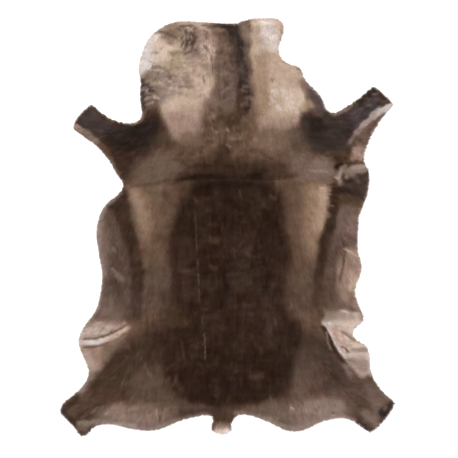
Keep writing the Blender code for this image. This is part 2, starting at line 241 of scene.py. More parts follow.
# %% The large areas, in millimetres
Patch = namedtuple("Patch", "name colour fade strength outline")
BACK_OUTLINE = (
    (-105, 135), (126, 135), (156, 96), (165, 51), (165, 6), (174, -39), (183, -84), (177, -129),
    (168, -174), (162, -219), (171, -255), (195, -279), (222, -315), (216, -354), (210, -393),
    (207, -429), (189, -480), (132, -525), (84, -538), (-18, -545), (-108, -531), (-150, -512),
    (-171, -474), (-195, -429), (-210, -387), (-230, -357), (-238, -333), (-196, -306),
    (-150, -288), (-150, -240), (-168, -205), (-168, -174), (-165, -129), (-165, -84),
    (-171, -39), (-171, 6),
    (-148, 51), (-121, 93))
PATCHES = (
    # neck
    Patch("neck_left", "cream", 28, 1, (
        (-234, 651), (-45, 651), (-45, 576), (-30, 531), (-42, 486), (-33, 441), (-48, 396),
        (-76, 357), (-72, 306), (-108, 267), (-150, 258), (-165, 276), (-177, 297), (-189, 321),
        (-210, 357), (-222, 390), (-234, 441), (-290, 447), (-290, 561))),
    Patch("neck_right", "cream", 26, 1, (
        (63, 651), (190, 651), (190, 531), (250, 471), (240, 417), (234, 387), (225, 351),
        (213, 309), (180, 267), (102, 271), (92, 309), (86, 357), (76, 396), (76, 441), (74, 486),
        (66, 531))),
    Patch("neck_middle", "mauve_brown", 30, 1, (
        (-45, 651), (60, 651), (60, 531), (72, 441), (84, 381), (90, 315), (-60, 315), (-60, 369),
        (-44, 411), (-36, 441), (-42, 486), (-32, 531), (-45, 576))),
    Patch("neck_middle_low", "brown", 30, 0.6, (
        (-52, 366), (84, 366), (90, 300), (-58, 300))),
    Patch("neck_left_white", "off_white", 26, 1, (
        (-290, 573), (-240, 606), (-198, 594), (-204, 549), (-214, 525), (-216, 489), (-236, 462),
        (-290, 453))),
    Patch("neck_left_bright", "pale_cream", 26, 0.9, (
        (-225, 560), (-168, 560), (-162, 531), (-177, 501), (-225, 495))),
    Patch("neck_corner", "taupe", 28, 0.7, (
        (-198, 624), (-147, 630), (-141, 591), (-150, 564), (-171, 552), (-192, 570))),
    Patch("neck_left_grey", "mauve", 38, 0.8, (
        (-129, 606), (-80, 606), (-74, 546), (-82, 507), (-123, 504), (-136, 546))),
    Patch("neck_left_sand", "sand", 20, 0.85, (
        (-180, 519), (-147, 519), (-120, 483), (-120, 456), (-177, 453))),
    Patch("neck_left_ashen", "rose_tan", 26, 0.6, (
        (-126, 501), (-48, 507), (-42, 462), (-75, 441), (-117, 456))),
    Patch("neck_left_low", "grey_taupe", 24, 0.85, (
        (-245, 458), (-171, 456), (-156, 426), (-162, 405), (-186, 387), (-204, 372), (-245, 381))),
    Patch("neck_left_fold", "rose_tan", 26, 0.65, (
        (-180, 452), (-102, 441), (-96, 411), (-150, 405))),
    Patch("neck_left_light", "pale_cream", 28, 0.5, (
        (-195, 369), (-150, 372), (-144, 336), (-180, 330))),
    Patch("neck_left_foot", "rose_tan", 40, 0.8, (
        (-192, 345), (-84, 360), (-72, 297), (-108, 255), (-180, 264))),
    Patch("neck_right_white", "off_white", 30, 0.75, (
        (90, 651), (180, 651), (174, 591), (156, 525), (104, 531))),
    Patch("neck_right_shade", "tan", 26, 0.75, (
        (80, 516), (118, 516), (126, 441), (124, 381), (120, 318), (90, 318), (84, 396))),
    Patch("neck_right_light", "pale_cream", 28, 0.85, (
        (150, 417), (216, 411), (225, 378), (210, 342), (171, 354))),
    Patch("neck_right_foot", "rose_tan", 44, 0.9, (
        (96, 330), (210, 327), (213, 300), (174, 261), (99, 270))),
    # shoulders and forelegs
    Patch("shoulder_middle", "brown", 44, 0.9, (
        (-78, 342), (90, 342), (97, 300), (186, 279), (225, 252), (231, 186), (-150, 186),
        (-168, 250), (-108, 265), (-72, 306))),
    Patch("shoulder_low", "walnut", 36, 0.9, (
        (-138, 190), (-60, 202), (60, 202), (174, 190), (192, 144), (-150, 144))),
    Patch("shoulder_lowest", "bark", 40, 1, (
        (-112, 176), (-30, 188), (45, 186), (132, 176), (120, 135), (-118, 135))),
    Patch("shoulder_left", "bark", 34, 1, (
        (-420, 387), (-354, 318), (-267, 315), (-246, 333), (-228, 342), (-207, 336), (-195, 309),
        (-186, 282), (-210, 252), (-234, 228), (-258, 198), (-294, 174), (-312, 141), (-354, 198),
        (-396, 264), (-480, 297))),
    Patch("shoulder_left_brown", "walnut", 30, 0.8, (
        (-204, 288), (-180, 276), (-162, 246), (-180, 228), (-213, 240))),
    Patch("foreleg_left", "soot", 30, 1, (
        (-384, 297), (-300, 315), (-234, 318), (-213, 324), (-204, 303), (-222, 273), (-240, 243),
        (-330, 231), (-366, 258))),
    Patch("foreleg_left_end", "plum", 30, 0.6, (
        (-432, 372), (-408, 366), (-384, 330), (-360, 312), (-360, 288), (-408, 279), (-468, 303))),
    Patch("shoulder_left_taupe", "umber", 44, 1, (
        (-270, 168), (-237, 207), (-198, 228), (-156, 207), (-141, 177), (-156, 117), (-294, 111))),
    Patch("shoulder_right_brown", "drab", 34, 0.95, (
        (171, 282), (213, 300), (252, 264), (222, 231), (177, 243))),
    Patch("shoulder_right_taupe", "mauve_brown", 40, 1, (
        (186, 228), (228, 228), (270, 204), (306, 189), (312, 138), (216, 135), (186, 162))),
    Patch("shoulder_right", "violet_black", 38, 1, (
        (228, 327), (243, 348), (282, 342), (360, 354), (438, 429), (510, 360), (426, 306),
        (378, 258), (357, 222), (306, 220), (264, 228), (237, 255), (225, 297))),
    Patch("shoulder_right_black", "soot", 26, 0.9, (
        (234, 324), (267, 330), (303, 294), (291, 258), (255, 273))),
    Patch("foreleg_right_end", "plum", 26, 0.9, (
        (366, 348), (438, 423), (498, 366), (432, 324), (384, 294))),
    Patch("foreleg_right_strip", "mauve_brown", 12, 1, (
        (505, 357), (448, 305), (440, 261), (420, 225), (372, 243), (390, 279), (432, 321))),
    Patch("armpit_right", "rose_tan", 14, 1, (
        (374, 240), (430, 240), (412, 200), (394, 197), (368, 203))),
    # flanks
    Patch("flank_left", "drab", 24, 1, (
        (-420, 66), (-318, 96), (-306, 6), (-294, -60), (-288, -150), (-297, -270), (-420, -270))),
    Patch("flank_left_edge", "mauve_brown", 26, 1, (
        (-420, 15), (-366, 12), (-352, -40), (-349, -100), (-360, -150), (-420, -160))),
    Patch("flank_left_foot", "mauve_brown", 40, 1, (
        (-420, -210), (-360, -212), (-318, -246), (-312, -290), (-420, -290))),
    Patch("flank_left_top", "bark", 26, 0.9, (
        (-366, 66), (-306, 114), (-300, 42), (-318, 6), (-345, 30))),
    Patch("flank_right", "mauve_brown", 26, 1, (
        (315, 60), (408, 72), (414, -69), (432, -99), (414, -174), (402, -243), (288, -243),
        (294, -159), (303, -69), (318, 6))),
    Patch("flank_right_warm", "rose_tan", 34, 0.9, (
        (357, -72), (408, -66), (432, -123), (390, -171), (390, -234), (338, -222), (326, -129))),
    Patch("flank_right_corner", "violet_black", 18, 0.8, (
        (350, 153), (430, 168), (436, 111), (415, 81), (354, 81), (326, 105))),
    # bands beside the back
    Patch("band_left_wide", "brown", 26, 1, (
        (-309, 129), (-126, 135), (-150, 81), (-171, 36), (-180, -39), (-174, -129), (-177, -219),
        (-189, -267), (-234, -300), (-258, -336), (-315, -351), (-312, -285), (-267, -255),
        (-261, -174), (-258, -105), (-270, -39), (-285, 15), (-294, 66), (-306, 105))),
    Patch("band_left_low", "drab", 50, 0.8, (
        (-270, -120), (-165, -120), (-165, -230), (-190, -245), (-300, -245))),
    Patch("band_left_middle", "taupe", 60, 0.4, (
        (-300, 129), (-186, 129), (-189, 60), (-198, -60), (-252, -75), (-290, 40))),
    Patch("band_left", "tan", 40, 0.8, (
        (-300, 111), (-261, 111), (-234, 66), (-228, 15), (-225, -39), (-231, -69), (-246, -54),
        (-267, -3), (-282, 51))),
    Patch("band_right_wide", "brown", 26, 1, (
        (144, 135), (306, 135), (297, 66), (285, -24), (264, -84), (255, -159), (252, -219),
        (282, -273), (288, -315), (258, -333), (228, -303), (204, -264), (180, -219), (186, -159),
        (189, -105), (180, -39), (174, 36), (168, 96))),
    Patch("band_right_low", "drab", 50, 0.7, (
        (260, -110), (180, -110), (180, -219), (204, -264), (270, -240))),
    Patch("band_right", "tan", 56, 0.9, (
        (228, 132), (306, 132), (303, 66), (288, -15), (276, -66), (246, -84), (225, -39),
        (231, 21), (231, 81))),
    # haunches, rump and hind legs
    Patch("thigh_left", "walnut", 44, 1, (
        (-309, -336), (-234, -315), (-150, -309), (-150, -525), (-414, -525), (-432, -465),
        (-372, -405))),
    Patch("thigh_right", "drab", 40, 0.8, (
        (210, -318), (291, -330), (336, -387), (366, -435), (438, -465), (372, -507), (306, -498),
        (180, -498), (150, -420))),
    Patch("back_soft", "walnut", 90, 0.8, BACK_OUTLINE),
    Patch("back", "sable", 34, 1, BACK_OUTLINE),
    Patch("back_middle", "bark", 90, 0.3, (
        (-120, -150), (140, -150), (150, -290), (-120, -290))),
    Patch("rump_left", "umber", 44, 0.6, (
        (-288, -438), (-207, -420), (-189, -474), (-171, -519), (-300, -528), (-297, -483))),
    Patch("hind_leg_left", "drab", 28, 0.7, (
        (-516, -549), (-438, -483), (-378, -501), (-384, -573), (-420, -612), (-474, -618))),
    Patch("rump_left_edge", "mauve", 44, 0.95, (
        (-381, -546), (-330, -536), (-276, -528), (-228, -532), (-168, -540), (-150, -558),
        (-198, -621), (-354, -615), (-402, -594))),
    Patch("hind_leg_right", "drab", 26, 1, (
        (342, -495), (438, -477), (504, -525), (432, -621), (363, -561), (357, -531))),
    Patch("rump_right_edge", "mauve", 50, 0.95, (
        (174, -534), (228, -516), (336, -507), (366, -534), (354, -585), (264, -609), (174, -627),
        (99, -597), (45, -555), (102, -537))),
    # bellies
    Patch("belly_left", "rose_tan", 20, 1, (
        (-462, -318), (-399, -280), (-348, -287), (-306, -278), (-291, -300), (-312, -333),
        (-348, -363), (-372, -393), (-387, -432), (-438, -441), (-450, -387), (-462, -339))),
    Patch("belly_left_light", "shell", 20, 0.95, (
        (-470, -309), (-411, -296), (-366, -298), (-327, -297), (-348, -312), (-384, -327),
        (-470, -336))),
    Patch("belly_left_foot", "taupe", 22, 0.9, (
        (-378, -351), (-318, -318), (-330, -354), (-360, -399), (-384, -423))),
    Patch("belly_right", "shell", 14, 0.95, (
        (284, -288), (297, -268), (348, -252), (414, -255), (420, -285), (378, -303), (384, -321),
        (438, -339), (438, -375), (444, -441), (396, -447), (363, -417), (337, -375), (310, -339),
        (288, -309))),
    Patch("belly_right_shade", "ash", 24, 0.8, (
        (288, -252), (360, -246), (348, -272), (300, -280))),
    Patch("belly_right_light", "pale_cream", 20, 0.9, (
        (342, -273), (408, -276), (384, -306), (444, -342), (444, -378), (372, -378), (339, -321))),
    Patch("belly_right_low", "rose_tan", 24, 0.6, (
        (366, -402), (438, -411), (450, -450), (396, -450))),
)

# %% The smaller marks, in millimetres
Mark = namedtuple("Mark", "name colour core fade strength line")
MARKS = (
    # broad soft strokes
    Mark("neck_left_rim", "mauve_brown", 6, 20, 0.85, ((-250, 444), (-244, 410), (-240, 366))),
    Mark("neck_left_olive", "taupe", 6, 18, 0.8, ((-232, 447), (-226, 410), (-224, 378))),
    Mark("neck_left_rim_dark", "violet_black", 5, 12, 0.9, ((-264, 440), (-263, 400), (-260, 352))),
    Mark("neck_left_inner", "rose_tan", 6, 22, 0.6, ((-55, 570), (-56, 525))),
    Mark("neck_left_pink", "cream", 8, 22, 0.4, ((-99, 456), (-96, 432))),
    Mark("neck_band_deep", "brown", 10, 28, 0.7, ((-12, 576), (-4, 522))),
    Mark("neck_band_low", "drab", 4, 24, 0.15, ((-50, 350), (-20, 345))),
    Mark("spine_wide", "drab", 9, 26, 0.9, (
        (10, 600), (20, 570), (30, 540), (40, 500), (48, 456), (46, 411))),
    Mark("spine", "violet_black", 8, 15, 1, (
        (9, 606), (15, 588), (30, 546), (38, 501), (47, 456), (46, 411), (42, 376))),
    Mark("spine_low", "walnut", 6, 22, 0.9, ((48, 396), (38, 348), (20, 306))),
    Mark("spine_top", "ink", 3.5, 9, 0.9, ((-34, 604), (-4, 602), (20, 601))),
    Mark("spine_top_left", "walnut", 3, 12, 0.6, ((-66, 604), (-40, 603))),
    Mark("neck_right_rim", "mauve_brown", 9, 20, 0.8, ((236, 428), (252, 384), (270, 348))),
    Mark("neck_right_rim_dark", "plum", 6, 14, 0.7, ((256, 402), (270, 378), (280, 352))),
    Mark("shoulder_left_light", "taupe", 8, 30, 0.8, ((-120, 266), (-105, 258))),
    Mark("shoulder_dark_left", "drab", 6, 22, 0.45, ((-58, 348), (-36, 340))),
    Mark("shoulder_dark", "walnut", 7, 26, 0.8, ((12, 318), (12, 300))),
    Mark("shoulder_stripe", "bark", 6, 26, 0.85, ((-14, 231), (-20, 195))),
    Mark("shoulder_right_light", "taupe", 12, 36, 0.85, ((106, 261), (160, 259))),
    Mark("shoulder_right_pale", "mauve", 8, 26, 0.7, ((268, 186), (312, 174))),
    Mark("band_left_light", "rose_tan", 4, 18, 0.5, ((-282, 96), (-270, 50), (-260, 12))),
    Mark("band_right_light", "fawn", 5, 20, 0.8, ((288, 108), (282, 48), (272, 0))),
    Mark("shadow_left", "bark", 10, 18, 1, (
        (-321, 96), (-322, 51), (-308, 6), (-288, -39), (-277, -84), (-272, -129), (-273, -180))),
    Mark("shadow_left_low", "peat", 6, 18, 0.8, ((-273, -180), (-274, -225), (-280, -264))),
    Mark("shadow_right", "bark", 6, 18, 1, (
        (323, 96), (316, 45), (304, -3), (292, -39), (286, -84), (276, -129), (268, -160))),
    Mark("shadow_right_low", "walnut", 4, 18, 0.7, ((272, -160), (267, -225))),
    Mark("flank_right_inner", "drab", 6, 26, 0.6, ((318, -40), (308, -120), (298, -220))),
    Mark("flank_right_mauve", "mauve", 8, 18, 0.6, ((378, 20), (384, -14))),
    # Painted shade in a crease and a dent of the right flank.
    Mark("flank_right_crease", "walnut", 0.6, 6, 0.7, ((340, -24), (352, -72), (346, -120), (336, -160))),
    Mark("flank_right_dent", "cocoa", 3, 10, 0.2, ((356, -196), (372, -222), (340, -236))),
    Mark("flank_right_glow", "rose_cream", 4, 18, 0.6, ((372, -150), (384, -180))),
    Mark("flank_left_rim", "mauve", 4, 18, 0.8, (
        (-380, 50), (-390, 0), (-386, -60), (-374, -110), (-370, -180))),
    Mark("flank_left_dark", "drab", 6, 22, 0.7, ((-376, -168), (-366, -192))),
    Mark("belly_left_ridge", "off_white", 6, 8, 1, ((-460, -349), (-399, -346), (-372, -338))),
    Mark("belly_left_ridge_far", "pale_cream", 5, 9, 0.8, ((-372, -338), (-346, -326), (-312, -304))),
    Mark("thigh_right_shade", "peat", 10, 40, 0.85, ((255, -345), (296, -392), (336, -452))),
    Mark("thigh_right_shade_low", "peat", 8, 30, 0.5, ((336, -452), (300, -482))),
    Mark("thigh_left_shade", "bark", 10, 44, 0.5, ((-330, -420), (-240, -350), (-228, -376))),
    Mark("back_left_low", "drab", 12, 40, 0.15, ((-250, -320), (-214, -356))),
    Mark("rump_left_rosy", "rose_tan", 8, 26, 0.5, ((-334, -552), (-312, -562))),
    Mark("rump_left_olive", "taupe", 8, 30, 0.6, ((-250, -548), (-210, -566))),
    Mark("rump_right_warm", "rose_tan", 10, 34, 0.6, ((262, -552), (318, -536))),
    Mark("rump_left_inner", "umber", 6, 22, 0.6, ((-204, -543), (-172, -552))),
    Mark("rump_middle_left", "peat", 5, 16, 0.5, ((-134, -552), (-40, -556))),
    Mark("rump_middle_right", "umber", 5, 18, 0.8, ((40, -552), (72, -552), (108, -566))),
    Mark("rump_right_column", "umber", 10, 34, 0.7, ((222, -411), (216, -486))),
    Mark("rump_right_inner", "umber", 8, 26, 0.7, ((120, -540), (160, -552), (186, -590))),
    Mark("rump_right_light", "grey_taupe", 10, 26, 0.8, ((246, -549), (324, -547))),
    Mark("hind_leg_right_grey", "mauve", 10, 26, 0.6, ((424, -492), (456, -516), (430, -562))),
    Mark("rump_middle_pale", "drab", 6, 14, 0.8, ((-138, -537), (-50, -549))),
    Mark("hind_leg_right_dark", "walnut", 5, 20, 0.6, ((396, -516), (424, -552))),
    Mark("band_left_shade", "cocoa", 6, 26, 0.4, ((-181, 60), (-200, 4), (-230, -40), (-268, -90))),
    Mark("band_left_corner", "bark", 6, 26, 0.3, ((-136, 168), (-150, 128), (-181, 100))),
    Mark("band_right_gleam", "olive_brown", 6, 24, 0.5, ((226, -130), (222, -155))),
    Mark("back_middle_shade", "ink", 10, 40, 0.3, ((0, 130), (0, 40), (20, -50), (40, -95))),
    Mark("back_top_left_light", "walnut", 6, 24, 0.35, ((-96, 92), (-84, 72))),
    Mark("back_left_shade", "bark", 8, 30, 0.55, ((-181, -225), (-181, -290), (-200, -350))),
    Mark("back_left_gleam", "cocoa", 6, 20, 0.4, ((-140, -268), (-134, -290))),
    Mark("thigh_right_dark", "peat", 8, 28, 0.45, ((222, -380), (226, -412))),
    Mark("thigh_right_low", "drab", 8, 24, 0.6, ((310, -500), (404, -502))),
    Mark("thigh_right_top_light", "brown", 4, 22, 0.4, ((264, -318), (280, -326))),
    Mark("flank_right_inner_dark", "walnut", 4, 20, 0.3, ((316, -80), (312, -150))),
    Mark("belly_right_top_shade", "mauve", 4, 16, 0.35, ((300, -272), (330, -268), (366, -272))),
    Mark("belly_right_low_shade", "grey_taupe", 8, 24, 0.6, ((356, -408), (404, -412))),
    Mark("belly_left_low_glow", "mauve", 5, 18, 0.4, ((-330, -362), (-312, -352))),
    Mark("neck_top_light", "fawn", 4, 16, 0.4, ((-108, 588), (-80, 584))),
    Mark("spine_top_right_light", "cream", 3, 14, 0.4, ((52, 590), (56, 565))),
    Mark("neck_left_low_glow", "cream", 6, 22, 0.6, ((-140, 356), (-84, 352))),
    Mark("neck_left_foot_shade", "mauve", 6, 20, 0.4, ((-96, 312), (-84, 304))),
    Mark("neck_left_mid_shade", "rose_tan", 5, 20, 0.6, ((-94, 492), (-88, 480))),
    Mark("neck_left_low_shade", "rose_tan", 4, 20, 0.3, ((-92, 402), (-88, 392))),
    Mark("neck_left_blend", "rose_tan", 4, 30, 0.35, ((-54, 380), (-46, 340))),
    Mark("neck_right_blend", "tan", 4, 30, 0.35, ((76, 440), (84, 380), (98, 325))),
    Mark("neck_band_light", "rose_tan", 4, 20, 0.4, ((-30, 590), (-34, 545))),
    Mark("neck_band_glow", "tan", 3, 14, 0.35, ((-22, 505), (-2, 490))),
    Mark("neck_band_side", "drab", 3, 16, 0.4, ((12, 560), (22, 500), (26, 440))),
    # Painted shade in a crease across the neck band.
    Mark("neck_band_crease", "brown", 1, 5, 0.6, ((-38, 521), (-14, 519), (14, 523))),
    Mark("neck_right_mid_light", "rose_cream", 6, 18, 0.4, ((138, 452), (134, 432))),
    Mark("armpit_right_shadow", "walnut", 2, 8, 0.5, ((350, 180), (366, 170))),
    Mark("thigh_left_low_light", "brown", 8, 28, 0.35, ((-366, -500), (-352, -505))),
    # the rim, where the hair thins and pales
    Mark("rump_left_pale_rim", "grey_cream", 3, 13, 0.5, (
        (-62, -567), (-147, -583), (-207, -608), (-261, -610), (-375, -592))),
    Mark("rump_right_pale_rim", "grey_cream", 3, 13, 0.5, (
        (30, -563), (114, -580), (181, -611), (219, -612), (294, -581), (354, -574), (390, -590))),
    Mark("hind_leg_right_pale_rim", "grey_taupe", 3, 12, 0.4, ((432, -438), (459, -486), (500, -524))),
    Mark("hind_leg_left_pale_rim", "grey_taupe", 1, 8, 0.3, ((-440, -480), (-470, -512), (-498, -538))),
    Mark("belly_left_pale_rim", "shell", 6, 24, 0.5, (
        (-446, -333), (-438, -370), (-420, -415), (-418, -445), (-440, -480))),
    Mark("belly_right_pale_rim", "off_white", 3, 12, 0.55, (
        (411, -279), (381, -303), (374, -322), (402, -347), (417, -353), (427, -387), (432, -438))),
    Mark("neck_right_pale_rim", "grey_cream", 2, 12, 0.4, (
        (195, 492), (225, 480), (232, 452), (258, 420), (286, 388), (296, 356), (318, 344), (346, 354))),
    Mark("flank_right_pale_rim", "grey_taupe", 1, 8, 0.4, ((426, 130), (417, 87), (397, 39))),
    Mark("flank_right_pale_rim_low", "cream", 2, 10, 0.4, ((391, -72), (404, -111), (396, -153))),
    Mark("flank_left_pale_rim", "grey_cream", 1, 7, 0.4, (
        (-424, -293), (-394, -252), (-377, -183), (-375, -129), (-388, -60), (-389, 6),
        (-369, 62), (-321, 103))),
    Mark("foreleg_right_pale_rim", "off_white", 2, 10, 0.5, ((500, 366), (462, 324), (440, 285))),
    Mark("foreleg_left_pale_rim", "mauve", 3, 9, 0.6, ((-376, 232), (-350, 196), (-332, 162))),
    Mark("armpit_left_pale_rim", "grey_taupe", 2, 8, 0.5, ((-288, 311), (-261, 321), (-254, 343))),
    # neck
    Mark("neck_corner_grey", "grey_taupe", 4, 14, 0.8, ((-222, 592), (-196, 588))),
    Mark("neck_corner_streak", "mauve_brown", 0.8, 5.9, 0.8, ((-207, 588), (-180, 578), (-156, 567))),
    Mark("neck_left_rosy", "rose_cream", 8, 24, 0.7, ((-84, 435), (-94, 465))),
    Mark("neck_spot_1", "bark", 0.8, 3.9, 0.9, ((-124, 555), (-111, 561))),
    Mark("neck_spot_2", "bark", 0.6, 3.9, 0.7, ((-111, 580), (-104, 571), (-94, 566))),
    Mark("neck_spot_3", "walnut", 0.6, 3.9, 0.7, ((-123, 543), (-129, 531))),
    Mark("neck_spot_4", "walnut", 0.6, 3.9, 0.7, ((-129, 519), (-120, 522))),
    Mark("neck_spot_5", "cocoa", 0.6, 3.9, 0.8, ((-105, 534), (-96, 528))),
    Mark("neck_spot_6", "cocoa", 0.6, 4.5, 0.8, ((-144, 603), (-132, 600), (-118, 604))),
    Mark("neck_spot_7", "cocoa", 0.6, 3.9, 0.6, ((-72, 588), (-62, 584))),
    Mark("neck_spot_8", "taupe", 0.6, 3.9, 0.8, ((-171, 521), (-165, 515), (-168, 500))),
    Mark("neck_spot_9", "cocoa", 0.6, 3.2, 0.6, ((-74, 540), (-62, 534))),
    Mark("neck_spot_10", "cocoa", 0.6, 3.2, 0.6, ((-66, 516), (-58, 508))),
    Mark("neck_spot_11", "brown", 0.6, 3.9, 0.8, ((-48, 462), (-46, 480))),
    Mark("neck_spot_12", "brown", 0.6, 3.2, 0.7, ((-74, 450), (-72, 430))),
    Mark("neck_fleck_1", "off_white", 0.6, 2.6, 0.8, ((-80, 549), (-66, 547))),
    Mark("neck_fleck_2", "pale_cream", 0.6, 3.2, 0.8, ((-84, 541), (-68, 527), (-54, 520))),
    Mark("neck_fleck_3", "pale_cream", 0.6, 3.2, 0.7, ((-60, 535), (-50, 543))),
    Mark("neck_fleck_4", "pale_cream", 0.6, 3.2, 0.7, ((-84, 528), (-66, 512), (-57, 507))),
    Mark("neck_fleck_5", "pale_cream", 0.6, 3.2, 0.7, ((-138, 592), (-120, 596), (-106, 584))),
    Mark("neck_fleck_6", "pale_cream", 0.6, 3.2, 0.6, ((-78, 596), (-66, 600))),
    Mark("neck_fleck_7", "pale_cream", 0.8, 4.5, 0.7, ((-138, 489), (-129, 480))),
    Mark("neck_fleck_8", "pale_cream", 0.8, 4.5, 0.6, ((-156, 456), (-144, 455))),
    Mark("neck_fleck_9", "off_white", 0.6, 3.2, 0.8, ((-182, 414), (-170, 412))),
    Mark("neck_fleck_10", "off_white", 0.6, 3.2, 0.8, ((-222, 384), (-216, 388), (-208, 384))),
    Mark("neck_fleck_11", "pale_cream", 3, 9, 0.7, ((-140, 408), (-128, 402))),
    Mark("neck_fleck_12", "pale_cream", 0.8, 4.5, 0.7, ((-66, 411), (-60, 390))),
    # The neck wrinkles are painted shade and light: thin darker and paler lines across the hair where its
    # small ruffles fall in shade or catch light.
    Mark("neck_wrinkle_1", "mauve", 0.6, 3.9, 0.8, ((-228, 482), (-204, 481))),
    Mark("neck_wrinkle_2", "mauve", 0.8, 5.2, 0.8, ((-228, 475), (-200, 474), (-180, 468), (-172, 450))),
    Mark("neck_wrinkle_3", "taupe", 0.6, 3.2, 0.8, ((-244, 462), (-224, 456), (-204, 456))),
    Mark("neck_wrinkle_4", "taupe", 0.8, 3.9, 0.8, ((-234, 444), (-206, 445))),
    Mark("neck_wrinkle_5", "brown", 0.8, 3.9, 0.8, ((-182, 450), (-172, 444))),
    Mark("neck_wrinkle_6", "taupe", 0.8, 5.2, 0.8, ((-144, 416), (-114, 417), (-90, 426))),
    Mark("neck_wrinkle_7", "mauve", 0.6, 3.9, 0.7, ((-144, 448), (-118, 450))),
    Mark("neck_wrinkle_8", "fawn", 0.6, 3.9, 0.7, ((-228, 432), (-200, 433))),
    Mark("neck_wrinkle_9", "taupe", 0.8, 5.2, 0.7, ((-180, 436), (-160, 430))),
    Mark("neck_wrinkle_10", "taupe", 0.8, 5.2, 0.6, ((-226, 402), (-216, 396))),
    Mark("neck_wrinkle_11", "brown", 0.6, 3.2, 0.7, ((-224, 379), (-212, 375))),
    Mark("spine_knot_1", "sable", 0.6, 2.6, 0.8, ((34, 418), (62, 410))),
    Mark("spine_knot_2", "sable", 0.6, 2.6, 0.8, ((36, 396), (52, 394), (60, 402))),
    Mark("spine_fleck_1", "taupe", 0.4, 2.6, 0.7, ((40, 407), (56, 404))),
    Mark("spine_fleck_2", "mauve", 0.4, 2.6, 0.6, ((38, 536), (50, 532))),
    Mark("neck_right_tip", "rose_cream", 8, 14, 0.9, ((153, 608), (162, 596))),
    Mark("neck_right_tip_edge", "mauve", 0.8, 5.9, 0.8, ((158, 590), (166, 578), (160, 562))),
    Mark("neck_right_pearl", "white", 4, 20, 0.5, ((110, 582), (134, 570))),
    Mark("neck_right_spot", "cocoa", 0.6, 3.2, 0.9, ((131, 441), (135, 440))),
    Mark("neck_right_spot_2", "taupe", 0.6, 4.5, 0.9, ((210, 478), (222, 470))),
    Mark("neck_right_fleck_1", "off_white", 0.6, 3.2, 0.9, ((164, 412), (176, 409))),
    Mark("neck_right_fleck_2", "off_white", 0.6, 3.2, 0.7, ((144, 398), (150, 398))),
    Mark("neck_right_fleck_3", "off_white", 0.6, 3.2, 0.7, ((146, 358), (154, 356))),
    Mark("neck_right_fleck_4", "pale_cream", 0.6, 3.2, 0.7, ((131, 487), (140, 486))),
    Mark("neck_right_fleck_5", "off_white", 0.6, 3.2, 0.7, ((204, 343), (214, 340))),
    Mark("neck_right_sandy", "sand", 5, 16, 0.8, ((226, 356), (238, 366))),
    # shoulders and forelegs
    Mark("shoulder_dark_2", "walnut", 3, 12, 0.7, ((-34, 318), (-10, 330))),
    Mark("shoulder_pale_fleck_1", "fawn", 0.6, 3.9, 0.8, ((-48, 294), (-42, 284), (-32, 282))),
    Mark("shoulder_pale_fleck_2", "fawn", 0.8, 3.9, 0.8, ((-4, 290), (2, 286))),
    Mark("shoulder_pale_fleck_3", "tan", 0.6, 4.5, 0.8, ((8, 262), (24, 262), (40, 266))),
    Mark("shoulder_pale_fleck_4", "tan", 0.8, 4.5, 0.6, ((-4, 246), (6, 238))),
    Mark("shoulder_pale_fleck_5", "tan", 0.8, 4.5, 0.6, ((-48, 342), (-40, 330))),
    Mark("shoulder_knot", "walnut", 0.6, 3.2, 0.9, ((-78, 240), (-73, 238))),
    Mark("shoulder_knot_2", "walnut", 0.6, 3.2, 0.8, ((-56, 352), (-40, 346))),
    # Painted shade along the thin crease above the withers crease, together with the darker hair roots that
    # show there.
    Mark("shoulder_streaks_left", "bark", 0.8, 5.2, 0.8, ((-104, 182), (-84, 184), (-40, 178), (-18, 182))),
    Mark("shoulder_streaks_right", "bark", 0.8, 5.2, 0.7, ((18, 174), (44, 174), (60, 190))),
    Mark("foreleg_left_edge", "mauve", 5, 11, 0.95, ((-462, 300), (-429, 281), (-402, 258), (-376, 232))),
    Mark("foreleg_left_edge_low", "cocoa", 4, 12, 0.8, ((-384, 244), (-360, 214))),
    Mark("foreleg_left_tip", "rose_tan", 5, 9, 0.9, ((-462, 302), (-448, 292))),
    Mark("foreleg_right_dark", "ink", 6, 14, 0.7, ((430, 414), (400, 374))),
    Mark("foreleg_right_dark_2", "bark", 4, 9, 0.8, ((462, 392), (480, 380), (458, 374))),
    Mark("foreleg_right_rim", "grey_taupe", 0.8, 3.9, 0.7, ((326, 342), (346, 348), (372, 362))),
    Mark("foreleg_right_band", "off_white", 5, 9, 0.9, ((496, 369), (460, 352), (432, 330))),
    Mark("foreleg_right_band_2", "grey_cream", 4, 9, 0.95, ((438, 336), (410, 306), (390, 286))),
    Mark("foreleg_right_band_3", "grey_taupe", 3, 8, 0.9, ((396, 292), (376, 264), (366, 246))),
    Mark("foreleg_right_strip_dark", "walnut", 3, 8, 0.4, ((462, 328), (446, 306), (424, 284))),
    # Painted shade in a fold of the right foreleg.
    Mark("foreleg_right_fold", "walnut", 0.6, 3.2, 0.9, ((388, 274), (376, 250), (368, 240))),
    Mark("foreleg_right_spots", "walnut", 0.8, 3.2, 0.7, ((394, 262), (404, 254))),
    Mark("foreleg_right_fleck_1", "mauve", 0.8, 3.9, 0.7, ((414, 358), (430, 366))),
    Mark("foreleg_right_fleck_2", "grey_taupe", 0.6, 3.2, 0.7, ((434, 400), (446, 400))),
    Mark("foreleg_right_fleck_3", "ink", 0.6, 3.2, 0.8, ((406, 362), (424, 356))),
    # The dark walnut, bark and ink marks in the right armpit are painted shade in its hollow and folds.
    Mark("armpit_right_shade", "walnut", 4, 10, 0.8, ((326, 202), (342, 188), (330, 174))),
    Mark("armpit_right_side", "walnut", 3, 8, 0.95, ((364, 240), (360, 214), (348, 190), (332, 178))),
    Mark("armpit_right_hollow", "ink", 3, 8, 1, ((328, 180), (346, 184))),
    Mark("armpit_right_rosy", "grey_cream", 0.8, 5.2, 0.6, ((398, 232), (396, 204))),
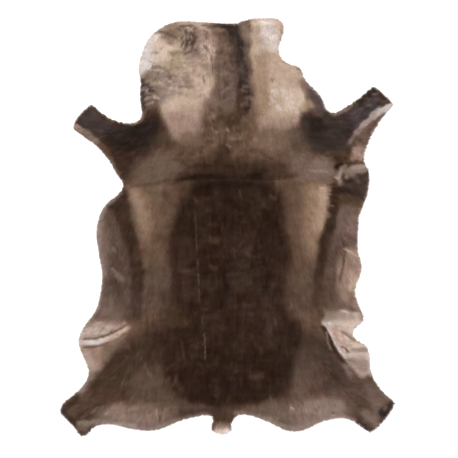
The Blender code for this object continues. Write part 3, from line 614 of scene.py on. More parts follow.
    Mark("armpit_right_fold_line", "bark", 0.6, 3.2, 0.95, ((352, 192), (376, 190), (392, 200))),
    Mark("armpit_right_fold", "grey_taupe", 8, 8, 0.85, ((358, 166), (384, 174), (420, 180))),
    Mark("armpit_right_fold_light", "grey_cream", 3, 8, 0.55, ((376, 178), (414, 184))),
    Mark("armpit_right_fold_2", "mauve", 3, 6, 0.9, ((352, 182), (356, 150))),
    Mark("armpit_right_strip", "grey_taupe", 3.5, 6, 0.95, ((344, 176), (330, 150), (340, 130))),
    Mark("armpit_right_strip_light", "grey_cream", 0.8, 3.9, 0.8, ((322, 148), (332, 144), (342, 168))),
    Mark("armpit_right_gap", "walnut", 0.8, 3.2, 0.9, ((350, 160), (346, 140), (340, 122))),
    Mark("flank_right_corner_light", "mauve_brown", 4, 10, 0.7, ((372, 156), (390, 140))),
    # Painted shade in the hollow beside the right flank.
    Mark("flank_right_hollow", "ink", 6, 12, 0.7, ((326, 112), (350, 110), (366, 92))),
    Mark("flank_right_line", "bark", 0.8, 3.9, 0.9, ((300, 124), (322, 128))),
    # back
    # The withers crease marks and withers lines are painted shade in the creases across the withers,
    # together with the darker hair roots that show where the hair parts there.
    Mark("withers_crease_heart", "ink", 3.5, 7, 1, ((-112, 148), (-84, 151), (-42, 150), (-10, 145))),
    Mark("back_top_shade", "ink", 8, 26, 0.7, ((-84, 132), (0, 126), (90, 132))),
    Mark("withers_crease_left", "ink", 0.8, 9, 0.9, (
        (-156, 139), (-126, 145), (-84, 151), (-42, 150), (-6, 144), (18, 140))),
    Mark("withers_crease_right", "ink", 3, 7, 1, ((60, 153), (80, 154), (96, 153))),
    Mark("withers_line", "sable", 0.6, 3.5, 0.8, ((-114, 178), (-76, 184), (-39, 182), (10, 178))),
    Mark("withers_line_right", "sable", 0.6, 3.5, 0.7, ((30, 180), (60, 183), (102, 186))),
    Mark("withers_crease_far", "walnut", 1, 8, 0.5, ((104, 153), (160, 156), (204, 152))),
    Mark("withers_crease_near", "walnut", 1, 6, 0.45, ((-290, 120), (-234, 126), (-189, 136), (-150, 140))),
    Mark("back_line", "ink", 3, 12, 0.7, ((-12, -110), (-10, -190), (-14, -260))),
    Mark("back_right_light", "walnut", 8, 40, 0.3, ((42, -50), (44, -150), (40, -250))),
    Mark("back_right_shade", "ink", 4, 22, 0.6, ((112, -96), (108, -190))),
    Mark("back_right_light_2", "peat", 8, 36, 0.5, ((132, -210), (126, -330))),
    Mark("back_left_light", "walnut", 6, 30, 0.4, ((-130, -60), (-132, -200))),
    Mark("back_low_light", "walnut", 8, 36, 0.15, ((-60, -330), (60, -350))),
    Mark("back_low_shade", "ink", 8, 36, 0.5, ((-60, -460), (60, -470))),
    Mark("back_top_light", "cocoa", 6, 30, 0.15, ((60, 100), (90, 70))),
    Mark("parting_1", "taupe", 0.4, 2.4, 0.4, ((-100, 50), (-98, 20), (-94, -39), (-92, -70))),
    Mark("parting_2", "taupe", 0.5, 2.6, 0.55, ((-90, -100), (-88, -130), (-86, -172))),
    Mark("parting_3", "taupe", 0.4, 2.4, 0.35, ((-86, -180), (-86, -219), (-80, -250))),
    Mark("parting_4", "taupe", 0.4, 2.4, 0.4, ((-78, -270), (-76, -306))),
    Mark("parting_5", "grey_taupe", 0.5, 2.6, 0.6, ((-72, -324), (-69, -360), (-68, -396))),
    Mark("back_fleck_1", "brown", 0.8, 4.5, 0.6, ((-102, 88), (-90, 76))),
    Mark("back_fleck_2", "brown", 0.6, 4.5, 0.7, ((126, 93), (144, 82))),
    Mark("back_fleck_3", "brown", 0.8, 5.2, 0.5, ((104, 66), (120, 56))),
    Mark("back_fleck_4", "cocoa", 0.8, 5.2, 0.6, ((36, 105), (40, 86))),
    Mark("back_fleck_5", "cocoa", 3, 9, 0.6, ((-56, -36), (-36, -42))),
    Mark("back_fleck_6", "cocoa", 3, 9, 0.5, ((50, -75), (62, -90))),
    Mark("back_fleck_7", "cocoa", 3, 9, 0.6, ((-54, -120), (-40, -126))),
    Mark("back_fleck_8", "cocoa", 3, 9, 0.5, ((-130, -132), (-114, -136))),
    Mark("back_fleck_9", "brown", 0.6, 3.9, 0.5, ((-80, -246), (-60, -250))),
    Mark("back_fleck_10", "cocoa", 0.8, 5.2, 0.5, ((-30, -255), (-14, -252))),
    Mark("back_fleck_11", "brown", 0.8, 4.5, 0.6, ((138, -276), (144, -290))),
    Mark("back_fleck_12", "cocoa", 3, 10, 0.5, ((84, -352), (96, -364))),
    Mark("back_fleck_13", "brown", 0.6, 3.9, 0.5, ((100, -402), (122, -402))),
    Mark("back_fleck_14", "cocoa", 3, 10, 0.6, ((100, -450), (70, -452))),
    Mark("back_fleck_15", "cocoa", 0.8, 5.2, 0.5, ((-140, -340), (-130, -400))),
    Mark("back_fleck_16", "cocoa", 3, 10, 0.6, ((-156, -450), (-140, -500))),
    Mark("back_fleck_17", "brown", 0.8, 3.9, 0.7, ((128, -510), (130, -530))),
    # bands beside the back
    Mark("band_fleck_right_1", "pale_cream", 0.4, 2.6, 0.7, ((278, 117), (292, 117))),
    Mark("band_fleck_right_2", "pale_cream", 0.4, 2.6, 0.7, ((278, 107), (294, 108))),
    Mark("band_fleck_right_3", "rose_cream", 0.4, 2.6, 0.6, ((248, 168), (300, 166))),
    Mark("band_fleck_right_4", "grey_taupe", 0.4, 2.6, 0.7, ((246, 180), (258, 180))),
    Mark("band_fleck_right_5", "mauve", 0.4, 2.6, 0.8, ((300, 156), (322, 157))),
    Mark("band_tooth_1", "rose_tan", 0.4, 2.6, 0.8, ((296, 108), (308, 108))),
    Mark("band_tooth_2", "rose_tan", 0.4, 2.6, 0.8, ((296, 99), (310, 98))),
    Mark("band_tooth_3", "rose_tan", 0.4, 2.6, 0.7, ((296, 66), (318, 62))),
    # flanks
    Mark("flank_left_fleck_1", "grey_cream", 0.6, 3.9, 0.6, ((-344, -66), (-338, -74))),
    Mark("flank_left_fleck_2", "grey_cream", 0.6, 3.9, 0.7, ((-348, -128), (-336, -138))),
    Mark("flank_left_fleck_3", "grey_taupe", 3, 9, 0.6, ((-330, -150), (-320, -162))),
    Mark("flank_left_line", "walnut", 0.6, 4.5, 0.7, ((-338, -160), (-332, -190), (-330, -210))),
    Mark("flank_right_top", "cocoa", 6, 16, 0.6, ((350, 90), (396, 70))),
    Mark("flank_right_line_1", "walnut", 0.8, 3.9, 0.7, ((348, -48), (364, -58))),
    Mark("flank_right_line_2", "walnut", 0.8, 3.9, 0.6, ((326, -80), (352, -86))),
    Mark("flank_right_light_1", "cream", 0.8, 5.2, 0.8, ((352, -68), (372, -78), (390, -90))),
    Mark("flank_right_light_3", "cream", 4, 12, 0.8, ((400, -150), (378, -170), (368, -190))),
    # Painted shade in a cleft of the right flank.
    Mark("flank_right_cleft", "cocoa", 0.6, 4.5, 0.8, ((324, -122), (320, -150), (320, -166))),
    # bellies
    Mark("belly_left_streak_1", "cream", 0.6, 3.2, 0.9, ((-394, -290), (-372, -290))),
    Mark("belly_left_streak_2", "taupe", 0.6, 3.2, 0.7, ((-396, -283), (-366, -284))),
    Mark("belly_left_end", "fawn", 2, 7, 0.7, ((-314, -287), (-308, -296))),
    # The belly crease marks are painted shade along the belly pleats, together with the darker hair roots
    # that show in them.
    Mark("belly_left_crease_top", "brown", 0.9, 3.6, 0.95, (
        (-434, -339), (-408, -338), (-384, -332), (-354, -322), (-322, -304), (-302, -291))),
    Mark("belly_left_crease_low", "brown", 0.7, 3.6, 0.8, (
        (-434, -363), (-408, -363), (-384, -357), (-362, -346))),
    Mark("belly_left_seam", "taupe", 0.6, 5.2, 0.7, ((-318, -330), (-300, -312))),
    Mark("belly_right_edge", "rose_tan", 4, 12, 0.7, ((380, -232), (396, -252), (406, -276))),
    Mark("belly_right_fleck", "white", 0.8, 3.9, 0.8, ((304, -288), (310, -288))),
    Mark("belly_right_streak_1", "off_white", 0.6, 3.9, 0.7, ((340, -252), (360, -258))),
    Mark("belly_right_streak_2", "grey_taupe", 0.6, 3.9, 0.6, ((330, -264), (348, -268))),
    Mark("belly_right_rose", "rose_cream", 6, 14, 0.9, ((322, -312), (350, -344))),
    Mark("belly_right_ridge", "off_white", 0.8, 3.9, 0.9, (
        (304, -310), (318, -342), (338, -372), (354, -392))),
    Mark("belly_right_line", "bark", 3, 7, 1, (
        (286, -302), (302, -330), (318, -360), (334, -392), (352, -414))),
    Mark("belly_right_inner", "grey_taupe", 0.8, 3.9, 0.9, ((296, -318), (302, -348), (310, -366))),
    # More painted shade along the pleats of the right belly.
    Mark("belly_right_crease", "mauve", 0.9, 4, 0.9, ((346, -314), (366, -332), (384, -342), (412, -345))),
    Mark("belly_right_crease_2", "brown", 0.9, 3.6, 0.9, ((344, -358), (352, -362), (362, -376))),
    Mark("belly_right_crease_3", "mauve", 0.9, 4, 0.8, ((364, -398), (376, -408))),
    Mark("belly_right_crease_4", "grey_taupe", 2, 8, 0.7, ((376, -370), (420, -370))),
    Mark("belly_right_corner", "mauve", 3, 10, 0.8, ((350, -420), (372, -446))),
    # rump, hind legs and tail
    Mark("thigh_left_fleck", "brown", 0.8, 4.5, 0.7, ((-300, -356), (-292, -374))),
    Mark("rump_left_spot_1", "cocoa", 0.8, 3.9, 0.8, ((-250, -528), (-238, -518))),
    Mark("rump_left_spot_2", "grey_taupe", 0.8, 3.9, 0.7, ((-242, -436), (-232, -444))),
    Mark("rump_left_spot_3", "cocoa", 0.8, 3.9, 0.7, ((-208, -558), (-204, -580))),
    Mark("rump_left_streak_1", "fawn", 0.6, 3.9, 0.6, ((-216, -552), (-210, -576))),
    Mark("rump_left_streak_2", "fawn", 0.6, 3.9, 0.5, ((-190, -545), (-196, -580))),
    Mark("rump_left_streak_3", "fawn", 0.6, 3.9, 0.6, ((-276, -585), (-262, -578))),
    Mark("rump_left_rim", "grey_cream", 3, 8, 0.6, ((-340, -592), (-280, -598))),
    Mark("hind_leg_left_dark_2", "bark", 8, 18, 0.8, ((-484, -530), (-460, -515))),
    Mark("hind_leg_left_olive", "walnut", 8, 16, 0.8, ((-450, -572), (-426, -565))),
    Mark("hind_leg_left_streak_1", "taupe", 0.6, 3.9, 0.8, ((-412, -560), (-394, -540))),
    Mark("hind_leg_left_streak_2", "walnut", 0.6, 3.9, 0.8, ((-404, -544), (-388, -534))),
    Mark("hind_leg_left_streak_3", "fawn", 0.6, 3.9, 0.7, ((-372, -562), (-362, -556))),
    Mark("hind_leg_left_band", "grey_taupe", 4, 9, 0.85, ((-446, -590), (-396, -585))),
    Mark("hoof_left", "mauve_brown", 8, 9, 0.9, ((-440, -606), (-424, -612))),
    Mark("hoof_left_dark", "violet_black", 3, 8, 0.8, ((-444, -618), (-426, -624), (-410, -606))),
    Mark("hoof_left_edge", "violet_black", 5, 12, 0.9, ((-502, -545), (-488, -566), (-466, -590))),
    Mark("hind_leg_right_band", "mauve", 6, 12, 0.8, ((412, -562), (446, -588))),
    Mark("hoof_right", "violet_black", 7, 11, 1, ((500, -528), (482, -552), (468, -562))),
    Mark("hoof_right_low", "violet_black", 5, 9, 0.8, ((394, -588), (426, -614))),
    Mark("hoof_right_fleck", "grey_taupe", 0.8, 3.9, 0.7, ((470, -552), (478, -540))),
    Mark("rump_right_spot_1", "cocoa", 0.6, 3.2, 0.8, ((218, -520), (224, -530))),
    Mark("rump_right_spot_2", "cocoa", 0.6, 3.2, 0.8, ((314, -560), (318, -566))),
    Mark("rump_right_fleck_1", "off_white", 0.6, 3.2, 0.8, ((190, -544), (198, -546))),
    Mark("rump_right_fleck_2", "pale_cream", 0.6, 3.2, 0.6, ((312, -568), (322, -566))),
    Mark("tail_root", "walnut", 12, 10, 0.9, ((-16, -560), (-18, -586))),
    Mark("tail_warm", "rose_tan", 6, 14, 0.9, ((-32, -602), (0, -602))),
    Mark("tail_tip", "white", 9, 14, 0.9, ((-34, -624), (4, -622))),
)
print("patches:", len(PATCHES), " marks:", len(MARKS), " colours:", len(COLOURS))

# %% [markdown]
# ## Flecks and wrinkles
#
# Between the marks that can be told apart lie countless flecks and short wrinkles, too fine to
# chart one by one. What matters is about how many there are, how long, and which way they run. So
# each swarm is one row: an oval on the hide, filled with short strokes that are turned a little.
# The swarms of wrinkles, ruffles, folds and pleats are painted shade and light: their dark and pale
# strokes stand in for the shade and light on small wrinkles and folds in the hair.
# They don't match single flecks of a real hide. Each swarm has a seed of its own, by its place in
# the table.

# %% Strokes that come in swarms
Swarm = namedtuple("Swarm", "name colour strength count length way middle reach")
# Swarms named for wrinkles, ruffles, folds or pleats are painted shade and light.
SWARMS = (
    Swarm("neck_ticks_dark", "walnut", 0.7, 26, 8, (0.5, 1), (-118, 552), (22, 38)),
    Swarm("neck_ticks_pale", "pale_cream", 0.7, 26, 9, (1, -0.7), (-62, 530), (20, 34)),
    Swarm("neck_ticks_inner", "brown", 0.5, 22, 8, (1, -0.7), (-60, 536), (22, 40)),
    Swarm("neck_ticks_top", "cocoa", 0.45, 22, 8, (1, -0.4), (-122, 592), (32, 16)),
    Swarm("neck_wrinkles_left", "grey_taupe", 0.6, 16, 20, (1, 0.05), (-220, 462), (22, 16)),
    Swarm("neck_rim_dark", "violet_black", 0.8, 22, 13, (1, 0), (-246, 405), (16, 38)),
    Swarm("neck_rim_pale", "grey_cream", 0.7, 18, 13, (1, 0), (-234, 405), (20, 38)),
    Swarm("neck_wrinkles_low", "taupe", 0.4, 30, 20, (1, 0.15), (-146, 420), (46, 32)),
    Swarm("neck_wrinkles_pink", "rose_cream", 0.5, 30, 16, (1, 0.2), (-120, 470), (60, 40)),
    Swarm("neck_wrinkles_mid", "mauve", 0.4, 34, 14, (1, 0.3), (-120, 480), (70, 50)),
    Swarm("neck_left_wrinkles_dark", "mauve_brown", 0.45, 40, 13, (1, 0.15), (-150, 500), (80, 90)),
    Swarm("neck_left_wrinkles_pale", "off_white", 0.45, 40, 13, (1, 0.15), (-140, 440), (80, 90)),
    Swarm("neck_wrinkles_light", "pale_cream", 0.25, 22, 18, (1, 0.15), (-140, 380), (46, 40)),
    Swarm("neck_band_wrinkles", "bark", 0.35, 34, 16, (1, 0.1), (-6, 470), (32, 120)),
    Swarm("neck_band_wrinkles_pale", "rose_tan", 0.4, 34, 15, (1, 0.1), (-14, 470), (32, 120)),
    Swarm("spine_ticks_dark", "ink", 0.5, 30, 12, (1, 0.25), (52, 400), (14, 80)),
    Swarm("spine_ticks_pale", "grey_taupe", 0.4, 24, 11, (1, 0.3), (46, 420), (14, 90)),
    Swarm("neck_right_wrinkles", "tan", 0.25, 34, 16, (1, 0.05), (130, 480), (50, 110)),
    Swarm("neck_right_ticks", "off_white", 0.7, 22, 8, (1, -0.4), (164, 390), (46, 48)),
    Swarm("withers_ticks_pale", "tan", 0.4, 40, 9, (1, -0.6), (6, 290), (90, 60)),
    Swarm("withers_ticks_dark", "bark", 0.35, 36, 12, (1, 0.2), (-6, 300), (80, 60)),
    # Painted shade and light of the wrinkles over the shoulders.
    Swarm("shoulder_wrinkles_left", "mauve", 0.19, 36, 18, (1, 0.1), (-200, 186), (84, 44)),
    Swarm("shoulder_wrinkles_right", "grey_taupe", 0.25, 36, 16, (1, 0.05), (262, 184), (60, 44)),
    Swarm("shoulder_wrinkles_dark", "bark", 0.45, 36, 26, (1, 0), (-10, 205), (150, 36)),
    Swarm("foreleg_left_hairs", "plum", 0.31, 24, 16, (1, 0.1), (-380, 300), (80, 30)),
    Swarm("foreleg_right_hairs", "mauve", 0.25, 24, 14, (1, 0.3), (420, 370), (60, 36)),
    # Painted shade of the armpit's folds, then painted shade and light of the wrinkles and ruffles on the
    # back.
    Swarm("armpit_folds", "walnut", 0.31, 14, 12, (0.4, 1), (388, 235), (20, 34)),
    Swarm("back_wrinkles_dark", "ink", 0.4, 110, 24, (1, 0.05), (0, -210), (160, 320)),
    Swarm("back_wrinkles_pale", "cocoa", 0.4, 120, 16, (1, 0.1), (0, -210), (160, 320)),
    Swarm("back_ruffles", "plum", 0.35, 40, 22, (1, 0.1), (60, -150), (60, 120)),
    Swarm("back_ruffles_low", "walnut", 0.35, 40, 20, (1, 0.1), (-110, -330), (110, 110)),
    Swarm("back_hairs", "cocoa", 0.25, 46, 20, (0.1, 1), (0, -200), (150, 300)),
    Swarm("band_left_hairs", "olive_brown", 0.25, 40, 22, (0.1, 1), (-226, -60), (40, 160)),
    Swarm("band_right_hairs", "umber", 0.25, 40, 22, (-0.1, 1), (232, -40), (40, 150)),
    Swarm("band_edge_ticks", "fawn", 0.31, 16, 12, (1, 0), (296, 66), (12, 60)),
    Swarm("flank_left_hairs", "grey_taupe", 0.22, 40, 16, (-0.3, 1), (-356, -110), (36, 130)),
    Swarm("flank_right_hairs", "fawn", 0.22, 40, 14, (0.3, 1), (362, -110), (36, 120)),
    # Painted shade of the belly pleats.
    Swarm("belly_left_pleats", "taupe", 0.31, 16, 26, (1, 0.25), (-390, -310), (60, 36)),
    Swarm("belly_right_pleats", "mauve", 0.31, 18, 24, (0.5, -1), (350, -345), (40, 50)),
    Swarm("thigh_left_hairs", "umber", 0.31, 50, 12, (-0.7, -1), (-250, -450), (110, 70)),
    Swarm("thigh_right_hairs", "umber", 0.31, 40, 12, (0.7, -1), (310, -450), (80, 60)),
    Swarm("rump_left_hairs", "fawn", 0.25, 40, 12, (-0.4, -1), (-270, -556), (100, 34)),
    Swarm("rump_left_hairs_dark", "cocoa", 0.25, 30, 12, (-0.4, -1), (-240, -550), (110, 34)),
    Swarm("rump_right_hairs", "fawn", 0.25, 40, 12, (0.4, -1), (250, -556), (100, 34)),
    Swarm("rump_right_hairs_dark", "cocoa", 0.25, 36, 12, (0.4, -1), (200, -550), (130, 34)),
    Swarm("hind_left_hairs", "taupe", 0.31, 22, 14, (-1, -0.6), (-430, -540), (56, 40)),
    Swarm("hind_right_hairs", "taupe", 0.31, 22, 14, (1, -0.6), (420, -530), (56, 40)),
)
SWARM_CORE = 0.4
SWARM_FADE = 3.6
SWARM_TURN = 0.3
SWARM_HALF_LENGTHS = (0.25, 0.65)     # half of a stroke, as a share of its swarm's length
SWARM_SEED = 60


def swarm_marks(swarm, seed):
    """Short strokes strewn over an oval, each turned a little."""
    chance = np.random.default_rng(seed)
    angle = chance.uniform(0, 2 * math.pi, swarm.count)
    spread = np.sqrt(chance.uniform(0, 1, swarm.count)) * np.stack([np.cos(angle), np.sin(angle)])
    middle = np.array(swarm.middle) + np.array(swarm.reach) * spread.T
    way = np.array(swarm.way) / np.linalg.norm(swarm.way)
    way = way + chance.normal(0, SWARM_TURN, (swarm.count, 2))
    half = way * swarm.length * chance.uniform(*SWARM_HALF_LENGTHS, (swarm.count, 1))
    return [
        Mark(swarm.name, swarm.colour, SWARM_CORE, SWARM_FADE, swarm.strength, line)
        for line in np.stack([middle - half, middle + half], axis=1)
    ]


STROKES = []
for number, swarm in enumerate(SWARMS):
    STROKES.extend(swarm_marks(swarm, SWARM_SEED + number))
print("strokes in swarms:", len(STROKES))

# %% Laying the markings on
WANDER_SIZES_MM = (46, 15)
WANDER_MM = (5.0, 3.0)      # how far a marking's edge strays, for each of those sizes
MOTTLE_SIZES_MM = (34, 12)
MOTTLE = (4.0, 4.0)         # how much lighter or darker the coat turns, for each of those sizes
# Painted light and shade of fine wrinkles: lighter and darker bands that run across the hide.
WRINKLE_SIZE_MM = 6.5
WRINKLE_STRETCH = 5         # a wrinkle runs this much further across the hide than down it
WRINKLE_LIGHT_AND_SHADE = 5.5
STEADY = 0.3                # share of that straying that a fine mark follows
FINE_REACH_MM = 12
TINT_SIZE_MM = 26
TINT = (1.6, -1.4, 1.0)     # towards mauve one way, and towards olive the other
WANDER_SEED = 10
MOTTLE_SEED = 20
WRINKLE_SEED = 23
TINT_SEED = 24


def line_gap(points, line):
    """Distance from each point to a line of straight pieces."""
    line = np.array(line, float)
    best = np.full(len(points), np.inf)
    for start, end in zip(line[:-1], line[1:]):
        way = end - start
        share = np.clip((points - start) @ way / (way @ way), 0, 1)
        gap = np.linalg.norm(points - start - share[:, None] * way, axis=1)
        best = np.minimum(best, gap)
    return best


def inside(points, outline):
    """Whether each point lies within a closed outline."""
    outline = np.array(outline, float)
    within = np.zeros(len(points), bool)
    for start, end in zip(outline, np.roll(outline, -1, axis=0)):
        spans = (start[1] > points[:, 1]) != (end[1] > points[:, 1])
        rise = end[1] - start[1] if end[1] != start[1] else 1.0
        crossing = start[0] + (points[:, 1] - start[1]) / rise * (end[0] - start[0])
        within ^= spans & (points[:, 0] < crossing)
    return within


def smooth_step(share):
    """Turn a share that runs evenly from 0 to 1 into one that starts and ends softly."""
    share = np.clip(share, 0, 1)
    return share * share * (3 - 2 * share)


def linear(colour):
    """Screen colours, from 0 to 255, as the linear values that a shader takes."""
    share = np.clip(np.asarray(colour, float) / 255, 0, 1)
    return np.where(share <= 0.04045, share / 12.92, ((share + 0.055) / 1.055) ** 2.4)


def near_shape(points, corners, reach):
    """The numbers of the points within a shape's box, widened by a reach."""
    corners = np.array(corners, float)
    in_box = (points > corners.min(0) - reach) & (points < corners.max(0) + reach)
    return np.nonzero(in_box.all(1))[0]


def coat_colour(points):
    """The coat's screen colour, from 0 to 255, at points in metres."""
    points = points / MM
    place = points
    for number, (size, reach) in enumerate(zip(WANDER_SIZES_MM, WANDER_MM)):
        drift = [soft_noise(points, size, WANDER_SEED + 2 * number + axis) for axis in (0, 1)]
        place = place + reach * np.stack(drift, axis=1)
    colour = np.tile(np.array(COLOURS[GROUND], float), (len(points), 1))
    for patch in PATCHES:
        near = near_shape(place, patch.outline, patch.fade)
        gap = line_gap(place[near], patch.outline + patch.outline[:1])
        depth = np.where(inside(place[near], patch.outline), gap, -gap)
        weight = patch.strength * smooth_step(0.5 + depth / patch.fade)
        colour[near] += weight[:, None] * (np.array(COLOURS[patch.colour]) - colour[near])
    steady = points + STEADY * (place - points)
    for mark in [*MARKS, *STROKES]:
        reach = mark.core + mark.fade
        spot = steady if reach < FINE_REACH_MM else place
        near = near_shape(spot, mark.line, reach)
        weight = mark.strength * smooth_step((reach - line_gap(spot[near], mark.line)) / mark.fade)
        colour[near] += weight[:, None] * (np.array(COLOURS[mark.colour]) - colour[near])
    for number, (size, reach) in enumerate(zip(MOTTLE_SIZES_MM, MOTTLE)):
        colour += reach * soft_noise(points, size, MOTTLE_SEED + number)[:, None]
    # painted light and shade of the fine wrinkles, as bands across the hide
    across = place / np.array([WRINKLE_STRETCH, 1])
    colour += WRINKLE_LIGHT_AND_SHADE * soft_noise(across, WRINKLE_SIZE_MM, WRINKLE_SEED)[:, None]
    return colour + soft_noise(points, TINT_SIZE_MM, TINT_SEED)[:, None] * np.array(TINT)


middle = coat_colour(np.array([[0.0, -0.1]]))[0]
print("colour in the middle of the back:", [round(value) for value in middle])

# %% [markdown]
# ## The lay of the hair
#
# Hair grows at a slant, so each part of a hide is combed one way: down the back to the tail, back
# and out over the flanks, and along each leg to the hoof. A short table of directions, each with
# a reach, is blended into one field. Close to the rim the hair fans outwards over the cut edge,
# and small random turns gather it into tufts.

# %% Combing directions and lengths
Lay = namedtuple("Lay", "name x y reach_x reach_y way length")
LAYS = (
    Lay("neck", 0, 480, 150, 160, (0, -1), 14),
    Lay("neck_left", -220, 480, 90, 130, (-0.25, -1), 11),
    Lay("neck_right", 215, 440, 90, 130, (0.35, -1), 13),
    Lay("shoulders", 0, 240, 200, 110, (0, -1), 14),
    Lay("back", 0, -130, 190, 330, (0, -1), 16),
    Lay("foreleg_left", -390, 300, 100, 80, (-1, 0.25), 10),
    Lay("foreleg_left_root", -270, 230, 90, 80, (-0.8, -0.6), 14),
    Lay("foreleg_right", 430, 350, 90, 80, (0.8, 0.55), 10),
    Lay("foreleg_right_root", 300, 250, 90, 80, (0.7, -0.5), 14),
    Lay("armpit_right", 380, 180, 50, 60, (0.9, -0.3), 12),
    Lay("flank_left", -330, -80, 90, 190, (-0.45, -1), 14),
    Lay("flank_right", 340, -80, 90, 190, (0.45, -1), 14),
    Lay("belly_left", -400, -340, 70, 60, (-1, -0.35), 12),
    Lay("belly_right", 390, -330, 70, 80, (1, -0.35), 12),
    Lay("hind_leg_left", -430, -540, 110, 80, (-0.85, -0.6), 11),
    Lay("hind_leg_right", 430, -540, 110, 80, (0.85, -0.6), 11),
    Lay("rump_left", -180, -520, 110, 80, (-0.2, -1), 14),
    Lay("rump_right", 180, -520, 110, 80, (0.2, -1), 14),
    Lay("neck_left_rim", -262, 400, 34, 50, (-1, -0.25), 14),
    Lay("band_left_rim", -300, 100, 26, 34, (-1, -0.5), 12),
    Lay("band_right_rim", 306, 110, 24, 44, (1, -0.15), 12),
    Lay("tail", -14, -605, 30, 30, (0, -1), 22),
)
TUFT_SIZES = (0.045, 0.016)
TUFT_TURNS = (0.22, 0.16)     # how far the hair strays sideways, for each of those sizes
RIM_FAN = 0.030               # width of the strip in which the hair turns outwards
RIM_TURN = 0.8
RIM_OVERHANG = 0.004
SHORTEST_LOCK = 0.007
LEAST_OUTWARD = 0.25          # least share of a lock's way that counts as outward at the rim
LEAST_WEIGHT = 1e-9           # keeps a place that no direction reaches from dividing by nothing
TUFT_SEED = 30


def hair_lay(points, depth, out):
    """The way that the hair points at each place of the plan, and its length in metres."""
    place = points / MM
    way = np.zeros((len(points), 2))
    length = np.zeros(len(points))
    weights = np.zeros(len(points))
    for lay in LAYS:
        across = (place[:, 0] - lay.x) / lay.reach_x
        along = (place[:, 1] - lay.y) / lay.reach_y
        weight = np.exp(-across * across - along * along) + LEAST_WEIGHT
        direction = np.array(lay.way, float)
        way += weight[:, None] * direction / np.linalg.norm(direction)
        length += weight * lay.length * MM
        weights += weight
    way /= np.linalg.norm(way, axis=1)[:, None]
    side = np.stack([-way[:, 1], way[:, 0]], axis=1)
    for number, (size, turn) in enumerate(zip(TUFT_SIZES, TUFT_TURNS)):
        way += turn * soft_noise(points, size, TUFT_SEED + number)[:, None] * side
    turn_out = RIM_TURN * smooth_step(1 - depth / RIM_FAN)[:, None]
    way = way * (1 - turn_out) + out * turn_out
    way /= np.linalg.norm(way, axis=1)[:, None]
    outward = np.maximum(np.sum(way * out, axis=1), LEAST_OUTWARD)
    room = (np.maximum(depth, 0) + RIM_OVERHANG) / outward
    return way, np.clip(np.minimum(length / weights, room), SHORTEST_LOCK, None)


# %% [markdown]
# ## The wool
#
# Under the guard hair lies a dense wool, and it is the wool that gives the hide its lumps and
# soft folds. The frame's upper side is cut finer, smoothed, lowered to leave room for the hair,
# drawn in a little from the rim and closed below. A cloth simulation has nothing to add here,
# because the hide already lies where it has settled.

# %% Cut the upper side finer and lower it
WOOL_CUTS = 3
WOOL_SMOOTHING = 5
WOOL_DRAW = 0.5           # share of the way that each smoothing draws a point to its neighbours
WOOL_SHARE = 0.66         # height of the wool, as a share of the whole coat's
WOOL_INSET = 0.004
WOOL_INSET_REACH = 0.03
SKIN_THICKNESS = 0.002

bmesh.ops.subdivide_edges(top_shape, edges=top_shape.edges, cuts=WOOL_CUTS, use_grid_fill=True)
for _ in range(WOOL_SMOOTHING):
    bmesh.ops.smooth_vert(
        top_shape, verts=top_shape.verts, factor=WOOL_DRAW,
        use_axis_x=True, use_axis_y=True, use_axis_z=True)
bmesh.ops.triangulate(top_shape, faces=top_shape.faces)

wool_points = np.array([vertex.co for vertex in top_shape.verts])
depth, out = rim_distance(wool_points[:, :2])
pull = WOOL_INSET * np.clip(1 - depth / WOOL_INSET_REACH, 0, 1) ** 2
wool_points[:, :2] -= out * pull[:, None]
wool_points[:, 2] = SKIN_THICKNESS + (wool_points[:, 2] - SKIN_THICKNESS) * WOOL_SHARE
for vertex, place in zip(top_shape.verts, wool_points):
    vertex.co = place
print("wool: upper side of", len(top_shape.faces), "triangles")

# %% The ground on which the guard hair grows
depth, out = rim_distance(wool_points[:, :2])
way, length = hair_lay(wool_points[:, :2], depth, out)

hair_ground = bpy.data.meshes.new("hair_ground")
top_shape.to_mesh(hair_ground)
normals = np.array([vertex.normal for vertex in hair_ground.vertices])
flow = np.concatenate([way, np.zeros((len(way), 1))], axis=1)
flow -= normals * np.sum(flow * normals, axis=1)[:, None]
hair_ground.attributes.new("flow", "FLOAT_VECTOR", "POINT").data.foreach_set("vector", flow.ravel())
hair_ground.attributes.new("lock_length", "FLOAT", "POINT").data.foreach_set("value", length)
print("lock length in mm:", round(length.min() / MM, 1), "to", round(length.max() / MM, 1))

# %% Close the wool below and colour it
WOOL_SHADE = 0.9


def set_colour(mesh, colour):
    """Store a screen colour, from 0 to 255, on each vertex."""
    values = np.concatenate([linear(colour), np.ones((len(colour), 1))], axis=1)
    attribute = mesh.color_attributes.new("coat", "FLOAT_COLOR", "POINT")
    attribute.data.foreach_set("color", values.astype(np.float32).ravel())


rim_edges = [edge for edge in top_shape.edges if edge.is_boundary]
wall = bmesh.ops.extrude_edge_only(top_shape, edges=rim_edges)["geom"]
for vertex in (item for item in wall if isinstance(item, bmesh.types.BMVert)):
    vertex.co.z = SKIN_THICKNESS
ground_edges = [edge for edge in top_shape.edges if edge.is_boundary]
underside = bmesh.ops.contextual_create(top_shape, geom=ground_edges)["faces"]
bmesh.ops.triangulate(top_shape, faces=underside)
bmesh.ops.recalc_face_normals(top_shape, faces=top_shape.faces)

wool_mesh = bpy.data.meshes.new("wool")
top_shape.to_mesh(wool_mesh)
top_shape.free()
wool_mesh.shade_smooth()
wool_plan = np.array([vertex.co.xy for vertex in wool_mesh.vertices])
set_colour(wool_mesh, coat_colour(wool_plan) * WOOL_SHADE)
wool = bpy.data.objects.new("wool", wool_mesh)
bpy.context.scene.collection.objects.link(wool)
print("wool:", len(wool_mesh.polygons), "faces")

